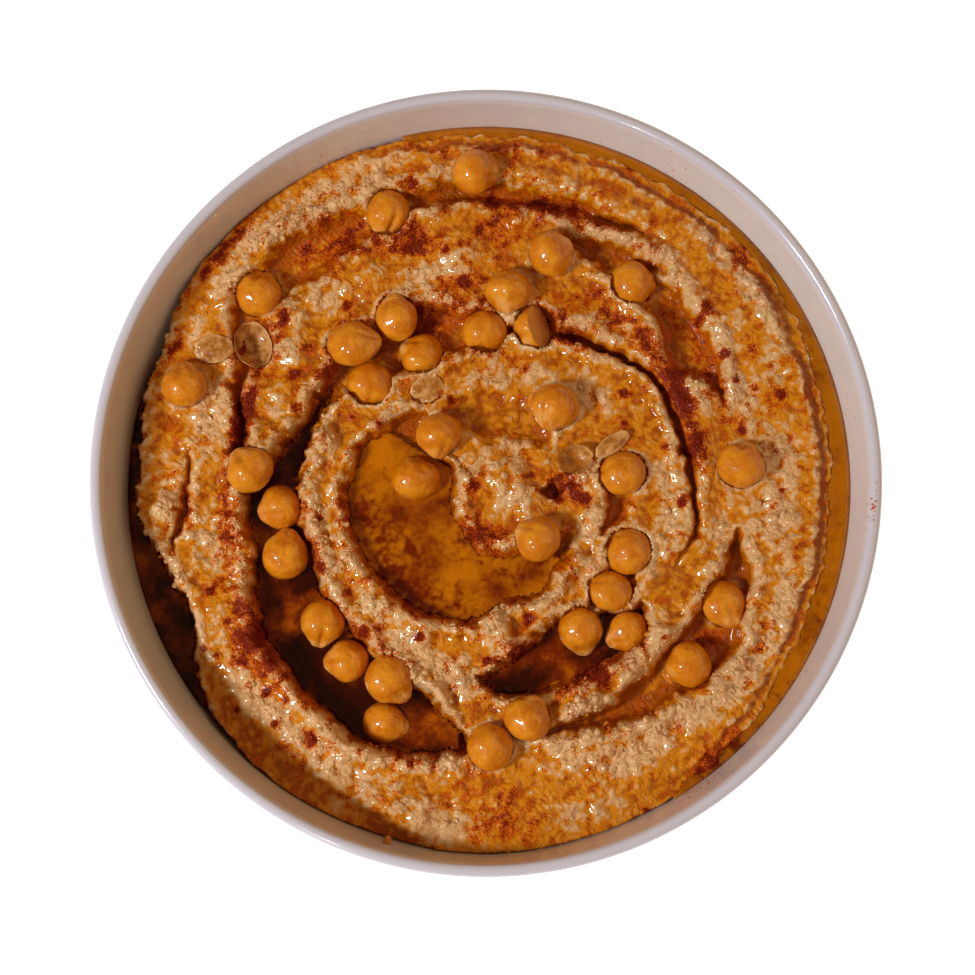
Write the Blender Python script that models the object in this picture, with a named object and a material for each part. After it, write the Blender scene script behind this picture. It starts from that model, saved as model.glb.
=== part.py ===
"""A round white bowl of swirled hummus, with pools of oil, whole chickpeas and loose chickpea skins.

Lengths are in millimetres until a mesh is made, which holds metres. Z is up. The bowl stands on Z = 0, and
its axis is the Z axis. The places of the spoon strokes, lumps and chickpeas are given as a person looking
down into the bowl reads them: across and up, or angle and radius, in millimetres in the plane of the rim.
"""

import math
from collections import namedtuple

import bmesh
import bpy
import numpy as np
from mathutils import Matrix, Vector, noise

MM = 0.001

# The bowl
RIM_HEIGHT = 50.0
RIM_RADIUS = 100.0
LIP_INNER_RADIUS = 97.0
LIP_ROUND = 1.6
WALL_TAPER = 1 / 6  # how far the wall leans in for each millimetre down
WALL_THICKNESS = 3.2
FLOOR_HEIGHT = 6.5
CORNER_RADIUS = 16.0
FOOT_INNER_RADIUS = 59.5
FOOT_OUTER_RADIUS = 66.0
FOOT_HEIGHT = 2.5
FOOT_CHAMFER = 2.0
FOOT_STEP = 1.5  # from the foot ring's outside to where the underside starts to curve
BOWL_SIDES = 48

# The view from above
VIEW_DISTANCE = 600.0
VIEW_TILT = math.radians(6.4)
VIEW_AIM = (0.3, -2.5)
FOOD_LEVEL = 35.0

# Gaps between pieces that touch
GAP = 0.3
SEAT_GAP = 0.35
MERGE_DISTANCE = 0.02

# The hummus
PLATEAU = 35.2
EDGE_START = 83.0
EDGE_FALL = 0.22  # the outer slope, down towards the wall
HEAP_RISE = 3.5  # the hummus is heaped against the near wall
HEAP_ANGLE = 270.0
HEAP_SPREAD = 16.0
LIP_OUT = 1.2  # a lip stands this far outside the edge of a stroke
LIP_WIDTH = 2.0
LIP_ENDS = 7.0  # degrees over which a lip runs out
RUFFLE = ((1.5, 9.0), (0.7, 3.6))  # how far edges wander, and over what length
ROLL = ((0.9, 17.0), (0.45, 6.0))  # how much the top rises and falls
HEAP_START = 74.0
HEAP_RUN = 18.0
SIDE_SHARES = (0.9, 0.3, 0.0)  # heights of the rings below the top, as shares of the corner radius
HUMMUS_CELLS = 39
HUMMUS_SIDES = 39
HUMMUS_FLATNESS = 4.0
POOL_FLATNESS = 1.0

# Chickpeas
PEA_SIDES = 10
PEA_RINGS = 6
PEA_FLATNESS = 0.95
PEA_CHARACTER = 3.7  # how far apart the noise of two chickpeas lies

# Skin of a chickpea, as shares of its radius, and as angles from the beak in radians
BEAK_REACH = 1.085
BEAK_RISE = 0.17
BEAK_WIDTH = 0.38
SHOULDER_DIP = 0.05
SHOULDER_AT = 0.78
SHOULDER_WIDTH = 0.3
SEAM_DIP = 0.075
SEAM_WIDTH = 0.16
SEAM_START = -0.5
SEAM_RUN = 1.1
CHEEK_RISE = 0.035
UNEVEN_RISE = 0.05
UNEVEN_PITCH = 1.3

# Skins
SKIN_THICKNESS = 0.6
SKIN_BEND = 0.8
CUP_DEPTH = 4.0

# Oil
SLAB_DEPTH = 5.0
SLAB_STEP = 9  # degrees

Stroke = namedtuple("Stroke", "name floor slope lip edges")
Lump = namedtuple("Lump", "angle radius spread rise")
Pool = namedtuple("Pool", "name level turn reach")
Pea = namedtuple("Pea", "across up length width heading lift")
Skin = namedtuple("Skin", "name across up long short heading tilt lift cup")

# Each edge is an angle, then the inner and the outer radius of the stroke there.
STROKES = [
    Stroke("crescent", 25.5, 3.2, 2.0, [
        (136, 46, 48), (150, 44.5, 50), (165, 44.5, 52), (180, 46, 62), (196, 46, 63), (206, 46.5, 66.5),
        (214, 47, 69), (225, 48, 70.5), (234, 49.5, 72), (243, 51, 73), (254, 54, 71.5), (262, 59, 69.5),
        (268, 64.5, 67),
    ]),
    Stroke("nest", 29.5, 3.5, 1.5, [
        (84, 38, 41), (100, 34, 46), (113, 33.5, 51), (126, 34, 51), (140, 38, 50), (152, 44, 49),
    ]),
    Stroke("crack", 28.5, 2.2, 1.2, [
        (-22, 51.5, 52.5), (-12, 52.2, 54.6), (0, 51, 53.8), (12, 49.2, 52.2), (22, 49, 51.9), (34, 48, 51),
        (44, 45.5, 49), (52, 42.5, 46.5), (66, 40, 44.5), (84, 38.5, 42),
    ]),
    Stroke("lower_right", 29.0, 3.2, 1.6, [
        (276, 62, 64), (288, 62.5, 66.5), (298, 62, 69.5), (307, 61, 72), (318, 60, 75.5), (330, 60.5, 75),
        (342, 61.5, 71), (350, 63.5, 65.5),
    ]),
    Stroke("upper_right", 31.0, 3.0, 1.4, [
        (17, 63, 64), (23, 60.5, 65), (30, 56, 67.5), (38, 55.5, 69), (48, 59, 70), (58, 59.5, 70.5),
        (67, 61.5, 68.5), (76, 64, 66),
    ]),
    Stroke("top_band", 30.5, 4.0, 1.2, [
        (54, 75, 76.5), (68, 71, 77.5), (82, 69, 77.5), (96, 70, 78.5), (110, 68.5, 78.5), (122, 67, 79.5),
        (134, 66.5, 81.5), (144, 68.5, 79.5), (153, 69, 72),
    ]),
    Stroke("left_tail", 30.0, 2.4, 1.0, [
        (148, 67, 71), (156, 65.5, 71), (164, 62.5, 66.5), (172, 60.5, 64.5), (182, 59, 62),
    ]),
    Stroke("left_slit", 31.0, 2.2, 0.8, [
        (173, 74, 75.5), (180, 74.5, 77), (187, 76.5, 80), (193, 80.5, 82),
    ]),
    Stroke("centre", 30.0, 3.2, 1.8, [
        (128, 23, 25), (140, 17, 28.5), (152, 9, 31), (168, 7, 35), (184, 7, 37.5), (202, 8, 37.5),
        (220, 9, 37.5), (238, 10, 38), (254, 12, 36.5), (266, 15, 35.5), (278, 16, 31), (292, 17, 31.5),
        (306, 18, 30), (318, 20, 28.5), (330, 23, 25),
    ]),
    Stroke("upper_centre", 33.4, 4.0, 0.6, [
        (30, 17, 20), (50, 13, 24), (75, 11, 25.5), (100, 12, 25), (120, 17, 23.5), (132, 21, 23),
    ]),
    Stroke("right_centre", 32.0, 2.6, 0.8, [
        (336, 31, 33), (347, 30, 36), (357, 29.5, 36.5), (7, 31, 36),
    ]),
    Stroke("slot", 30.0, 2.0, 1.0, [(348, 15, 18), (357, 12.5, 19.5), (366, 14, 17.5)]),
    Stroke("lower", 28.0, 2.8, 1.6, [
        (267, 47.5, 51), (277, 43.5, 55), (288, 39, 54.5), (300, 38, 54), (312, 42, 55.5), (323, 48, 52),
    ]),
    Stroke("lower_nest", 31.0, 3.0, 0.8, [(308, 38, 42), (318, 36.5, 46), (330, 35.5, 46), (343, 36.5, 42)]),
    Stroke("trough_right", 30.5, 3.0, 0.8, [
        (-66, 91.5, 110), (-45, 88.5, 110), (-28, 86.5, 110), (-10, 85.5, 110), (8, 86, 110), (30, 87, 110),
        (60, 87, 110), (85, 87, 110), (104, 88.5, 110), (118, 91, 110),
    ]),
    Stroke("terrace_right", 33.8, 1.6, 0.3, [
        (-62, 88, 110), (-45, 85.5, 110), (-28, 84, 110), (0, 83.2, 110), (30, 83.5, 110), (60, 84, 110),
        (85, 84.5, 110), (104, 86, 110), (116, 89, 110),
    ]),
    Stroke("left_shelf", 33.0, 9.0, 0.0, [
        (203, 80, 110), (215, 78.5, 110), (235, 80, 110), (250, 84, 110), (262, 89, 110),
    ]),
    Stroke("trough_left", 24.5, 2.6, 1.2, [
        (136, 91, 110), (150, 89.5, 110), (165, 88, 110), (178, 87, 110), (187, 86.3, 110), (194, 83, 110),
        (201, 79.8, 110), (206, 81.5, 110), (211, 84.5, 110), (216, 87.5, 110), (222, 90, 110),
        (232, 91.5, 110), (244, 93, 110),
    ]),
]

LUMPS = [
    Lump(110, 4.0, 6.5, 3.0),
    Lump(20, 5.5, 5.0, 3.2),
    Lump(335, 9.0, 3.6, 2.6),
    Lump(30, 18.0, 4.2, 1.8),
    Lump(8, 24.0, 4.0, 2.0),
    Lump(345, 29.0, 3.2, 2.6),
    Lump(334, 31.5, 3.0, 2.6),
    Lump(322, 30.5, 3.0, 2.2),
    Lump(308, 31.5, 3.0, 2.2),
    Lump(295, 34.0, 3.2, 2.4),
    Lump(268, 31.0, 2.6, 4.0),
    Lump(273, 36.5, 3.6, 3.6),
    Lump(277, 42.0, 4.0, 4.0),
    Lump(277, 47.5, 3.2, 4.6),
    Lump(293, 60.0, 4.6, 5.0),
    Lump(262, 50.0, 8.0, 1.6),
    Lump(204, 41.5, 4.0, 1.6),
    Lump(228, 42.0, 4.5, 2.0),
    Lump(246, 41.0, 5.0, 2.0),
    Lump(165, 41.0, 3.2, 2.2),
    Lump(170, 56.5, 5.0, 3.2),
    Lump(157, 58.0, 5.0, 2.0),
    Lump(146, 61.0, 4.5, 2.6),
    Lump(139, 64.0, 3.6, 2.4),
    Lump(118, 59.0, 5.0, 2.0),
    Lump(104, 72.5, 3.6, 4.2),
    Lump(96, 58.0, 6.0, 2.6),
    Lump(60, 49.0, 5.0, 1.8),
    Lump(42, 56.0, 4.0, 2.2),
    Lump(20, 57.5, 4.0, 2.0),
    Lump(320, 57.0, 3.6, 3.0),
    Lump(306, 60.0, 3.4, 2.6),
    Lump(290, 72.0, 7.0, 2.4),
    Lump(256, 84.0, 6.0, 2.8),
    Lump(238, 76.0, 6.0, 2.0),
    Lump(218, 66.0, 5.0, 2.6),
    Lump(205, 72.0, 5.0, 2.0),
    Lump(184, 81.5, 3.6, 2.4),
    Lump(175, 69.0, 4.0, 2.0),
    Lump(32, 80.0, 7.0, 1.6),
    Lump(350, 78.0, 7.0, 1.4),
    Lump(130, 84.0, 6.0, 1.6),
]

# A pool lies between two angles and two radii, up to its level.
POOLS = [
    Pool("oil_crescent", 28.6, (140, 264), (40, 74)),
    Pool("oil_centre", 31.6, (150, 316), (5, 41)),
    Pool("oil_lower", 29.8, (266, 322), (36, 58)),
    Pool("oil_edge_right", 33.2, (-60, 112), (84, 110)),
    Pool("oil_edge_left", 27.6, (142, 250), (77, 110)),
]

PEAS = [
    Pea(-3.1, 78.7, 12.6, 11.6, -5, 1.8),
    Pea(-24.8, 68.4, 13.8, 11.4, 262, 2.2),
    Pea(16.1, 58.3, 12.0, 12.0, 20, 2.8),
    Pea(36.4, 50.8, 12.4, 11.6, 5, 2.6),
    Pea(-57.4, 48.2, 13.2, 11.8, 75, 1.8),
    Pea(5.3, 48.8, 12.0, 12.0, 262, 2.0),
    Pea(-22.8, 42.1, 13.0, 10.8, 100, 5.4),
    Pea(-0.5, 38.4, 13.0, 11.4, 275, 1.8),
    Pea(12.4, 39.7, 12.4, 11.6, 250, 2.2),
    Pea(-33.8, 35.6, 14.8, 11.6, 4, 5.0),
    Pea(-16.4, 32.8, 12.2, 11.4, 150, 1.0),
    Pea(-29.4, 25.4, 12.6, 11.8, 258, 1.8),
    Pea(-76.2, 25.2, 12.2, 11.6, 95, 2.4),
    Pea(17.0, 19.8, 13.0, 12.4, 245, 1.8),
    Pea(-12.2, 12.8, 12.2, 11.2, 270, 2.2),
    Pea(-17.8, 1.6, 12.0, 12.2, 100, 3.0),
    Pea(-59.6, 3.9, 12.4, 12.2, 130, 0.6),
    Pea(-51.9, -5.6, 11.8, 11.4, 200, 5.2),
    Pea(34.0, 3.0, 13.6, 11.4, 192, 1.8),
    Pea(63.7, 5.1, 12.4, 12.6, 65, 1.4),
    Pea(-50.7, -17.6, 13.8, 11.8, 80, 5.4),
    Pea(12.9, -13.5, 12.2, 11.8, 150, 2.4),
    Pea(35.5, -16.6, 13.0, 12.0, 135, 2.6),
    Pea(30.9, -26.6, 12.8, 10.2, 165, 2.6),
    Pea(59.4, -29.8, 13.2, 11.2, 295, 2.2),
    Pea(-41.3, -34.4, 12.8, 11.2, 262, 5.6),
    Pea(23.5, -36.4, 13.0, 11.2, 280, 3.8),
    Pea(35.3, -36.7, 12.0, 10.2, 210, 2.0),
    Pea(-35.1, -44.1, 12.2, 10.8, 185, 4.2),
    Pea(-24.6, -48.8, 13.8, 12.2, 312, 7.2),
    Pea(50.8, -45.1, 12.4, 11.8, 200, 3.2),
    Pea(-25.8, -59.8, 13.4, 10.8, 345, 1.6),
    Pea(10.2, -58.6, 12.2, 12.0, 60, 2.2),
    Pea(0.8, -65.9, 12.4, 12.0, 30, 2.0),
]
HALF_PEA = 9  # this one is only half, with its cut face up and to the right
HALF_FACE = Vector((0.84, 0.14, 0.52))
HALF_OFFSET = 0.8

SKINS = [
    Skin("skin_cup_left", -58.7, 35.5, 6.2, 4.9, 105, 18, 2.6, True),
    Skin("skin_flat_left", -68.8, 34.4, 5.2, 3.6, 10, 6, 1.1, False),
    Skin("skin_cup_right", 22.2, 6.6, 4.7, 3.6, 10, 8, 2.2, True),
    Skin("skin_strip_right", 31.6, 10.4, 5.0, 2.2, 35, 8, 2.2, False),
    Skin("skin_flat_top", -15.0, 24.3, 4.4, 3.4, 20, 10, 0.9, False),
]


def view_axes():
    """The eye, and the directions that look right, up and back towards the eye in the view."""
    back = Vector((0, -math.sin(VIEW_TILT), math.cos(VIEW_TILT)))
    up = Vector((0, math.cos(VIEW_TILT), math.sin(VIEW_TILT)))
    eye = Vector((*VIEW_AIM, RIM_HEIGHT)) + back * VIEW_DISTANCE
    return eye, Vector((1, 0, 0)), up, back


def place(across, up, height):
    """The point at this height that the view shows at (across, up)."""
    eye, right_axis, up_axis, back = view_axes()
    ray = right_axis * across + up_axis * up - back * VIEW_DISTANCE
    return eye + ray * ((height - eye.z) / ray.z)


def as_seen(x, y):
    """Angle in degrees and radius at which the view shows points of the food."""
    eye, _, up_axis, back = view_axes()
    dx, dy, dz = x - eye.x, y - eye.y, FOOD_LEVEL - eye.z
    scale = -VIEW_DISTANCE / (dy * back.y + dz * back.z)
    across, up = dx * scale, (dy * up_axis.y + dz * up_axis.z) * scale
    return np.degrees(np.arctan2(up, across)), np.hypot(across, up)


def smoothstep(value):
    value = np.clip(value, 0.0, 1.0)
    return value * value * (3 - 2 * value)


def noise_at(x, y, length, seed):
    """Smooth noise from -1 to 1, whose bumps are about this long."""
    points = zip((x / length).ravel(), (y / length).ravel())
    return np.array([noise.noise((a, b, seed)) for a, b in points]).reshape(x.shape)


def curve_through(knots, values, at):
    """A smooth curve through the values at the knots, read at other places."""
    slopes = np.gradient(values, knots)
    index = np.clip(np.searchsorted(knots, at) - 1, 0, len(knots) - 2)
    span = knots[index + 1] - knots[index]
    t = np.clip((at - knots[index]) / span, 0, 1)
    start, end = values[index], values[index + 1]
    rise_out, rise_in = slopes[index] * span, slopes[index + 1] * span
    return (
        (2 * t**3 - 3 * t**2 + 1) * start + (t**3 - 2 * t**2 + t) * rise_out
        + (3 * t**2 - 2 * t**3) * end + (t**3 - t**2) * rise_in
    )


def stroke_reach(stroke, angle, radius):
    """How far inside the stroke each point lies, and from 0 to 1 how far it is from the stroke's ends."""
    knots = np.array(stroke.edges, float)
    turn = (angle - knots[0, 0]) % 360
    along = np.unwrap(knots[:, 0], period=360) - knots[0, 0]
    inner = curve_through(along, knots[:, 1], turn)
    outer = curve_through(along, knots[:, 2], turn)
    inside = np.minimum(radius - inner, outer - radius)
    inside = np.where(turn <= along[-1], inside, -radius.max())
    ends = smoothstep(np.minimum(turn, along[-1] - turn) / LIP_ENDS)
    return inside, ends


def hummus_height(x, y):
    """Height of the spooned hummus, without its finer grain."""
    drift_x = sum(size * noise_at(x, y, length, 3.1) for size, length in RUFFLE)
    drift_y = sum(size * noise_at(x, y, length, 8.7) for size, length in RUFFLE)
    angle, radius = as_seen(x + drift_x, y + drift_y)
    height = PLATEAU + sum(size * noise_at(x, y, length, 5.3) for size, length in ROLL)
    height -= EDGE_FALL * np.maximum(radius - EDGE_START, 0)
    off_heap = (angle - HEAP_ANGLE + 180) % 360 - 180
    heap = np.exp(-((off_heap / HEAP_SPREAD) ** 2))
    height += HEAP_RISE * heap * smoothstep((radius - HEAP_START) / HEAP_RUN)
    reaches = [(stroke, *stroke_reach(stroke, angle, radius)) for stroke in STROKES]
    for stroke, inside, ends in reaches:
        height += stroke.lip * ends * np.exp(-(((inside + LIP_OUT) / LIP_WIDTH) ** 2))
    for lump in LUMPS:
        turn = np.radians(angle - lump.angle)
        apart = radius**2 + lump.radius**2 - 2 * radius * lump.radius * np.cos(turn)
        height += lump.rise * np.exp(-apart / lump.spread**2)
    for stroke, inside, _ in reaches:
        depth = smoothstep(inside / stroke.slope)
        height += depth * np.minimum(stroke.floor - height, 0)
    return height


def wall_radius(z):
    """Inner radius of the bowl at a height, or the smallest there is at the floor."""
    bend = FLOOR_HEIGHT + CORNER_RADIUS
    if z >= bend:
        return LIP_INNER_RADIUS - (RIM_HEIGHT - z) * WALL_TAPER
    at_bend = LIP_INNER_RADIUS - (RIM_HEIGHT - bend) * WALL_TAPER
    drop = min((bend - z) / CORNER_RADIUS, 1.0)
    return at_bend - CORNER_RADIUS * (1 - math.sqrt(1 - drop**2))


def material(name, colour, roughness, alpha=1.0):
    made = bpy.data.materials.new(name)
    made.use_nodes = True
    shader = made.node_tree.nodes["Principled BSDF"]
    shader.inputs["Base Color"].default_value = (*colour, 1)
    shader.inputs["Roughness"].default_value = roughness
    shader.inputs["Metallic"].default_value = 0.0
    shader.inputs["Alpha"].default_value = alpha
    return made


def add_object(name, mesh_maker, finish, location=(0, 0, 0), rotation=None):
    """A named object of a bmesh made in millimetres, placed in metres."""
    mesh = bpy.data.meshes.new(name)
    bmesh.ops.scale(mesh_maker, vec=(MM, MM, MM), verts=mesh_maker.verts)
    mesh_maker.to_mesh(mesh)
    mesh_maker.free()
    made = bpy.data.objects.new(name, mesh)
    bpy.context.scene.collection.objects.link(made)
    if finish:
        mesh.materials.append(finish)
    made.location = Vector(location) * MM
    if rotation:
        made.rotation_euler = rotation.to_euler()
    return made


def shade_round(made, angle=50):
    made.data.shade_smooth()
    made.data.set_sharp_from_angle(angle=math.radians(angle))


def arc(centre, radius, start, end, pieces):
    """Points (radius, height) of an arc, angles in degrees, both ends included."""
    turns = [math.radians(start + (end - start) * i / pieces) for i in range(pieces + 1)]
    return [(centre[0] + radius * math.cos(t), centre[1] + radius * math.sin(t)) for t in turns]


def bowl_profile():
    """Half outline of the bowl, from the middle of its underside over the lip to the middle of its floor."""
    bend = FLOOR_HEIGHT + CORNER_RADIUS
    at_bend = wall_radius(bend)
    corner = (at_bend - CORNER_RADIUS, bend)
    outside = arc(corner, CORNER_RADIUS + WALL_THICKNESS, -62, 0, 3)
    lip = arc((RIM_RADIUS - LIP_ROUND, RIM_HEIGHT - LIP_ROUND), LIP_ROUND, -10, 150, 4)
    inside = arc(corner, CORNER_RADIUS, 0, -90, 4)
    return [
        (0, FOOT_HEIGHT), (FOOT_INNER_RADIUS - FOOT_CHAMFER, FOOT_HEIGHT), (FOOT_INNER_RADIUS, 0),
        (FOOT_OUTER_RADIUS, 0), (FOOT_OUTER_RADIUS + FOOT_STEP, FOOT_HEIGHT), *outside, *lip, *inside,
        (0, FLOOR_HEIGHT),
    ]


def bowl_mesh():
    made = bmesh.new()
    points = [made.verts.new((r, 0, z)) for r, z in bowl_profile()]
    edges = [made.edges.new(pair) for pair in zip(points, points[1:])]
    bmesh.ops.spin(
        made, geom=points + edges, cent=(0, 0, 0), axis=(0, 0, 1), angle=2 * math.pi,
        steps=BOWL_SIDES, use_merge=True,
    )
    bmesh.ops.remove_doubles(made, verts=made.verts, dist=MERGE_DISTANCE)
    bmesh.ops.recalc_face_normals(made, faces=made.faces)
    return made


def disc_grid(cells):
    """A square grid of cells bent into a disc of radius 1, as two arrays of x and y."""
    line = np.linspace(-1, 1, cells + 1)
    a, b = np.meshgrid(line, line, indexing="ij")
    wide = np.abs(a) > np.abs(b)
    reach = np.where(wide, a, b)
    safe = np.where(reach == 0, 1, reach)
    turn = np.where(wide, b / safe * math.pi / 4, math.pi / 2 - a / safe * math.pi / 4)
    return reach * np.cos(turn), reach * np.sin(turn)


def grid_border(cells):
    """Grid indices round the border, counter-clockwise, from the lower right corner."""
    right = [(cells, j) for j in range(cells)]
    top = [(i, cells) for i in range(cells, 0, -1)]
    left = [(0, j) for j in range(cells, 0, -1)]
    bottom = [(i, 0) for i in range(cells)]
    return right + top + left + bottom


def top_points(cells):
    """The hummus top as grids of x, y and height, whose border follows the bowl's wall."""
    unit_x, unit_y = disc_grid(cells)
    nominal = wall_radius(FOOD_LEVEL) - GAP
    edge = hummus_height(unit_x * nominal, unit_y * nominal)
    reach = np.vectorize(wall_radius)(edge) - SEAT_GAP
    share = smoothstep((np.hypot(unit_x, unit_y) - 0.9) / 0.1)
    radius = nominal + share * (reach - nominal)
    x, y = unit_x * radius, unit_y * radius
    return x, y, hummus_height(x, y)


def hummus_mesh(lift=0.0):
    """The hummus down to the floor of the bowl. Its sides and underside are coarser than its top."""
    cells = HUMMUS_CELLS
    made = bmesh.new()
    x, y, z = top_points(cells)
    top = [
        [made.verts.new((x[i, j], y[i, j], z[i, j] + lift)) for j in range(cells + 1)]
        for i in range(cells + 1)
    ]
    for i in range(cells):
        for j in range(cells):
            made.faces.new((top[i][j], top[i + 1][j], top[i + 1][j + 1], top[i][j + 1]))
    border = [top[i][j] for i, j in grid_border(cells)]
    heights = [FLOOR_HEIGHT + CORNER_RADIUS * share for share in SIDE_SHARES]
    rings = []
    for height in heights:
        radius = wall_radius(height) - 2 * GAP
        corners = [border[4 * k].co for k in range(HUMMUS_SIDES)]
        turns = [math.atan2(co.y, co.x) for co in corners]
        rings.append([
            made.verts.new((radius * math.cos(t), radius * math.sin(t), height + GAP + lift)) for t in turns
        ])
    count = len(border)
    for k in range(HUMMUS_SIDES):
        low, low_next = rings[0][k], rings[0][(k + 1) % HUMMUS_SIDES]
        for step in range(-2, 2):
            made.faces.new((low, border[(4 * k + step + 1) % count], border[(4 * k + step) % count]))
        made.faces.new((low, low_next, border[(4 * k + 2) % count]))
    for upper, lower in zip(rings, rings[1:]):
        for k in range(HUMMUS_SIDES):
            after = (k + 1) % HUMMUS_SIDES
            made.faces.new((upper[k], lower[k], lower[after], upper[after]))
    made.faces.new(rings[-1][::-1])
    bmesh.ops.recalc_face_normals(made, faces=made.faces)
    bmesh.ops.triangulate(made, faces=made.faces)
    return made


def pea_surface(direction, character):
    """How far the skin reaches in a direction, for a body of radius 1. The beak points along +X."""
    x, y, z = direction
    from_beak = math.acos(max(-1.0, min(1.0, x)))
    beak = BEAK_RISE * math.exp(-((from_beak / BEAK_WIDTH) ** 2))
    shoulder = SHOULDER_DIP * math.exp(-(((from_beak - SHOULDER_AT) / SHOULDER_WIDTH) ** 2))
    seam = SEAM_DIP * math.exp(-((y / SEAM_WIDTH) ** 2)) * max(z, 0)
    seam *= smoothstep((x - SEAM_START) / SEAM_RUN)
    cheeks = CHEEK_RISE * abs(y) ** 1.5
    at = (x * UNEVEN_PITCH + character, y * UNEVEN_PITCH, z * UNEVEN_PITCH)
    return 1 + beak - shoulder - seam + cheeks + UNEVEN_RISE * noise.noise(at)


def pea_mesh(pea, character, grow=0.0):
    """A chickpea with its beak along +X, its seam on top, and its skin moved out by `grow`."""
    made = bmesh.new()
    turn = Matrix.Rotation(math.pi / 2, 4, "Y")
    bmesh.ops.create_uvsphere(made, u_segments=PEA_SIDES, v_segments=PEA_RINGS, radius=1, matrix=turn)
    half_length, half_width = pea.length / 2 / BEAK_REACH, pea.width / 2
    size = Vector((half_length, half_width, half_width * PEA_FLATNESS))
    for point in made.verts:
        direction = point.co.normalized()
        skin = direction * float(pea_surface(direction, character))
        point.co = Vector(s * c for s, c in zip(skin, size)) + direction * grow
    return made


def pea_location(pea, height_over):
    """Centre of a chickpea that stands `lift` over the hummus, found for the height that it ends up at."""
    spot = place(pea.across, pea.up, FOOD_LEVEL)
    for _ in range(3):
        level = float(height_over(np.array([spot.x]), np.array([spot.y]))[0]) + pea.lift
        spot = place(pea.across, pea.up, level)
    return spot


def pea_turn(number, pea):
    """The chickpea's heading, with a small roll and tip of its own."""
    roll = 0.5 * math.sin(number * 2.4)
    tip = 0.22 * math.sin(number * 1.7)
    return (
        Matrix.Rotation(math.radians(pea.heading), 3, "Z")
        @ Matrix.Rotation(tip, 3, "Y")
        @ Matrix.Rotation(roll, 3, "X")
    )


def in_order(made):
    """The same points and faces, listed by where they lie.

    Blender's cuts list them in another order each run, and joining flat faces goes by that order.
    """
    points = sorted(made.verts, key=lambda point: point.co[:])
    rank = {point: k for k, point in enumerate(points)}
    loops = []
    for face in made.faces:
        loop = [rank[point] for point in face.verts]
        first = loop.index(min(loop))
        loops.append(loop[first:] + loop[:first])
    ordered = bmesh.new()
    copies = [ordered.verts.new(point.co) for point in points]
    for loop in sorted(loops):
        ordered.faces.new([copies[k] for k in loop])
    made.free()
    return ordered


def cut_half(made, rotation, grow=0.0):
    """Keeps the half of a chickpea behind its cut face, which `grow` moves out."""
    normal = (rotation.inverted() @ HALF_FACE).normalized()
    bmesh.ops.bisect_plane(
        made, geom=made.verts[:] + made.edges[:] + made.faces[:], plane_co=normal * (HALF_OFFSET + grow),
        plane_no=normal, clear_outer=True,
    )
    bmesh.ops.holes_fill(made, edges=[e for e in made.edges if e.is_boundary])
    return in_order(made)


def skin_cup(radii, thickness, sides=12, rings=2, depth=0.92):
    """A thin open half skin, as a closed shell round its hollow."""
    made = bmesh.new()
    walls = []
    for inset in (0.0, thickness):
        reach = [r - inset for r in radii]
        levels = []
        for ring in range(1, rings + 1):
            low = math.pi / 2 * ring / rings * depth
            levels.append([
                made.verts.new((
                    reach[0] * math.sin(low) * math.cos(2 * math.pi * s / sides),
                    reach[1] * math.sin(low) * math.sin(2 * math.pi * s / sides),
                    -reach[2] * math.cos(low),
                ))
                for s in range(sides)
            ])
        walls.append((made.verts.new((0, 0, -reach[2])), levels))
    for pole, levels in walls:
        for s in range(sides):
            made.faces.new((pole, levels[0][s], levels[0][(s + 1) % sides]))
        for lower, upper in zip(levels, levels[1:]):
            for s in range(sides):
                made.faces.new((lower[s], lower[(s + 1) % sides], upper[(s + 1) % sides], upper[s]))
    outer, inner = walls[0][1][-1], walls[1][1][-1]
    for s in range(sides):
        made.faces.new((outer[s], outer[(s + 1) % sides], inner[(s + 1) % sides], inner[s]))
    bmesh.ops.recalc_face_normals(made, faces=made.faces)
    return made


def filled_cup(radii, grow):
    """The whole lower half of a cup, to cut its seat in the hummus."""
    made = bmesh.new()
    bmesh.ops.create_uvsphere(made, u_segments=12, v_segments=6, radius=1)
    for point in made.verts:
        point.co = Vector(c * (r + grow) for c, r in zip(point.co, radii))
    return made


def skin_flake(radii, bend, thickness, sides=12, grow=0.0):
    """A flattened skin: an oval sheet that curls at its rim, both faces split alike."""
    made = bmesh.new()
    faces = []
    for offset in (thickness / 2 + grow, -thickness / 2 - grow):
        middle = made.verts.new((0, 0, offset + bend))
        rings = []
        for share in (0.55, 1.0):
            rings.append([])
            for s in range(sides):
                t = 2 * math.pi * s / sides
                ripple = 0.35 * math.sin(3 * t) * share
                rings[-1].append(made.verts.new((
                    (radii[0] + grow) * share * math.cos(t), (radii[1] + grow) * share * math.sin(t),
                    offset + bend * (1 - share**2) + ripple,
                )))
        faces.append((middle, rings))
    for middle, rings in faces:
        for s in range(sides):
            after = (s + 1) % sides
            made.faces.new((middle, rings[0][s], rings[0][after]))
            made.faces.new((rings[0][s], rings[1][s], rings[1][after]))
            made.faces.new((rings[0][s], rings[1][after], rings[0][after]))
    top, bottom = faces[0][1][1], faces[1][1][1]
    for s in range(sides):
        made.faces.new((top[s], top[(s + 1) % sides], bottom[(s + 1) % sides], bottom[s]))
    bmesh.ops.recalc_face_normals(made, faces=made.faces)
    return made


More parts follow.
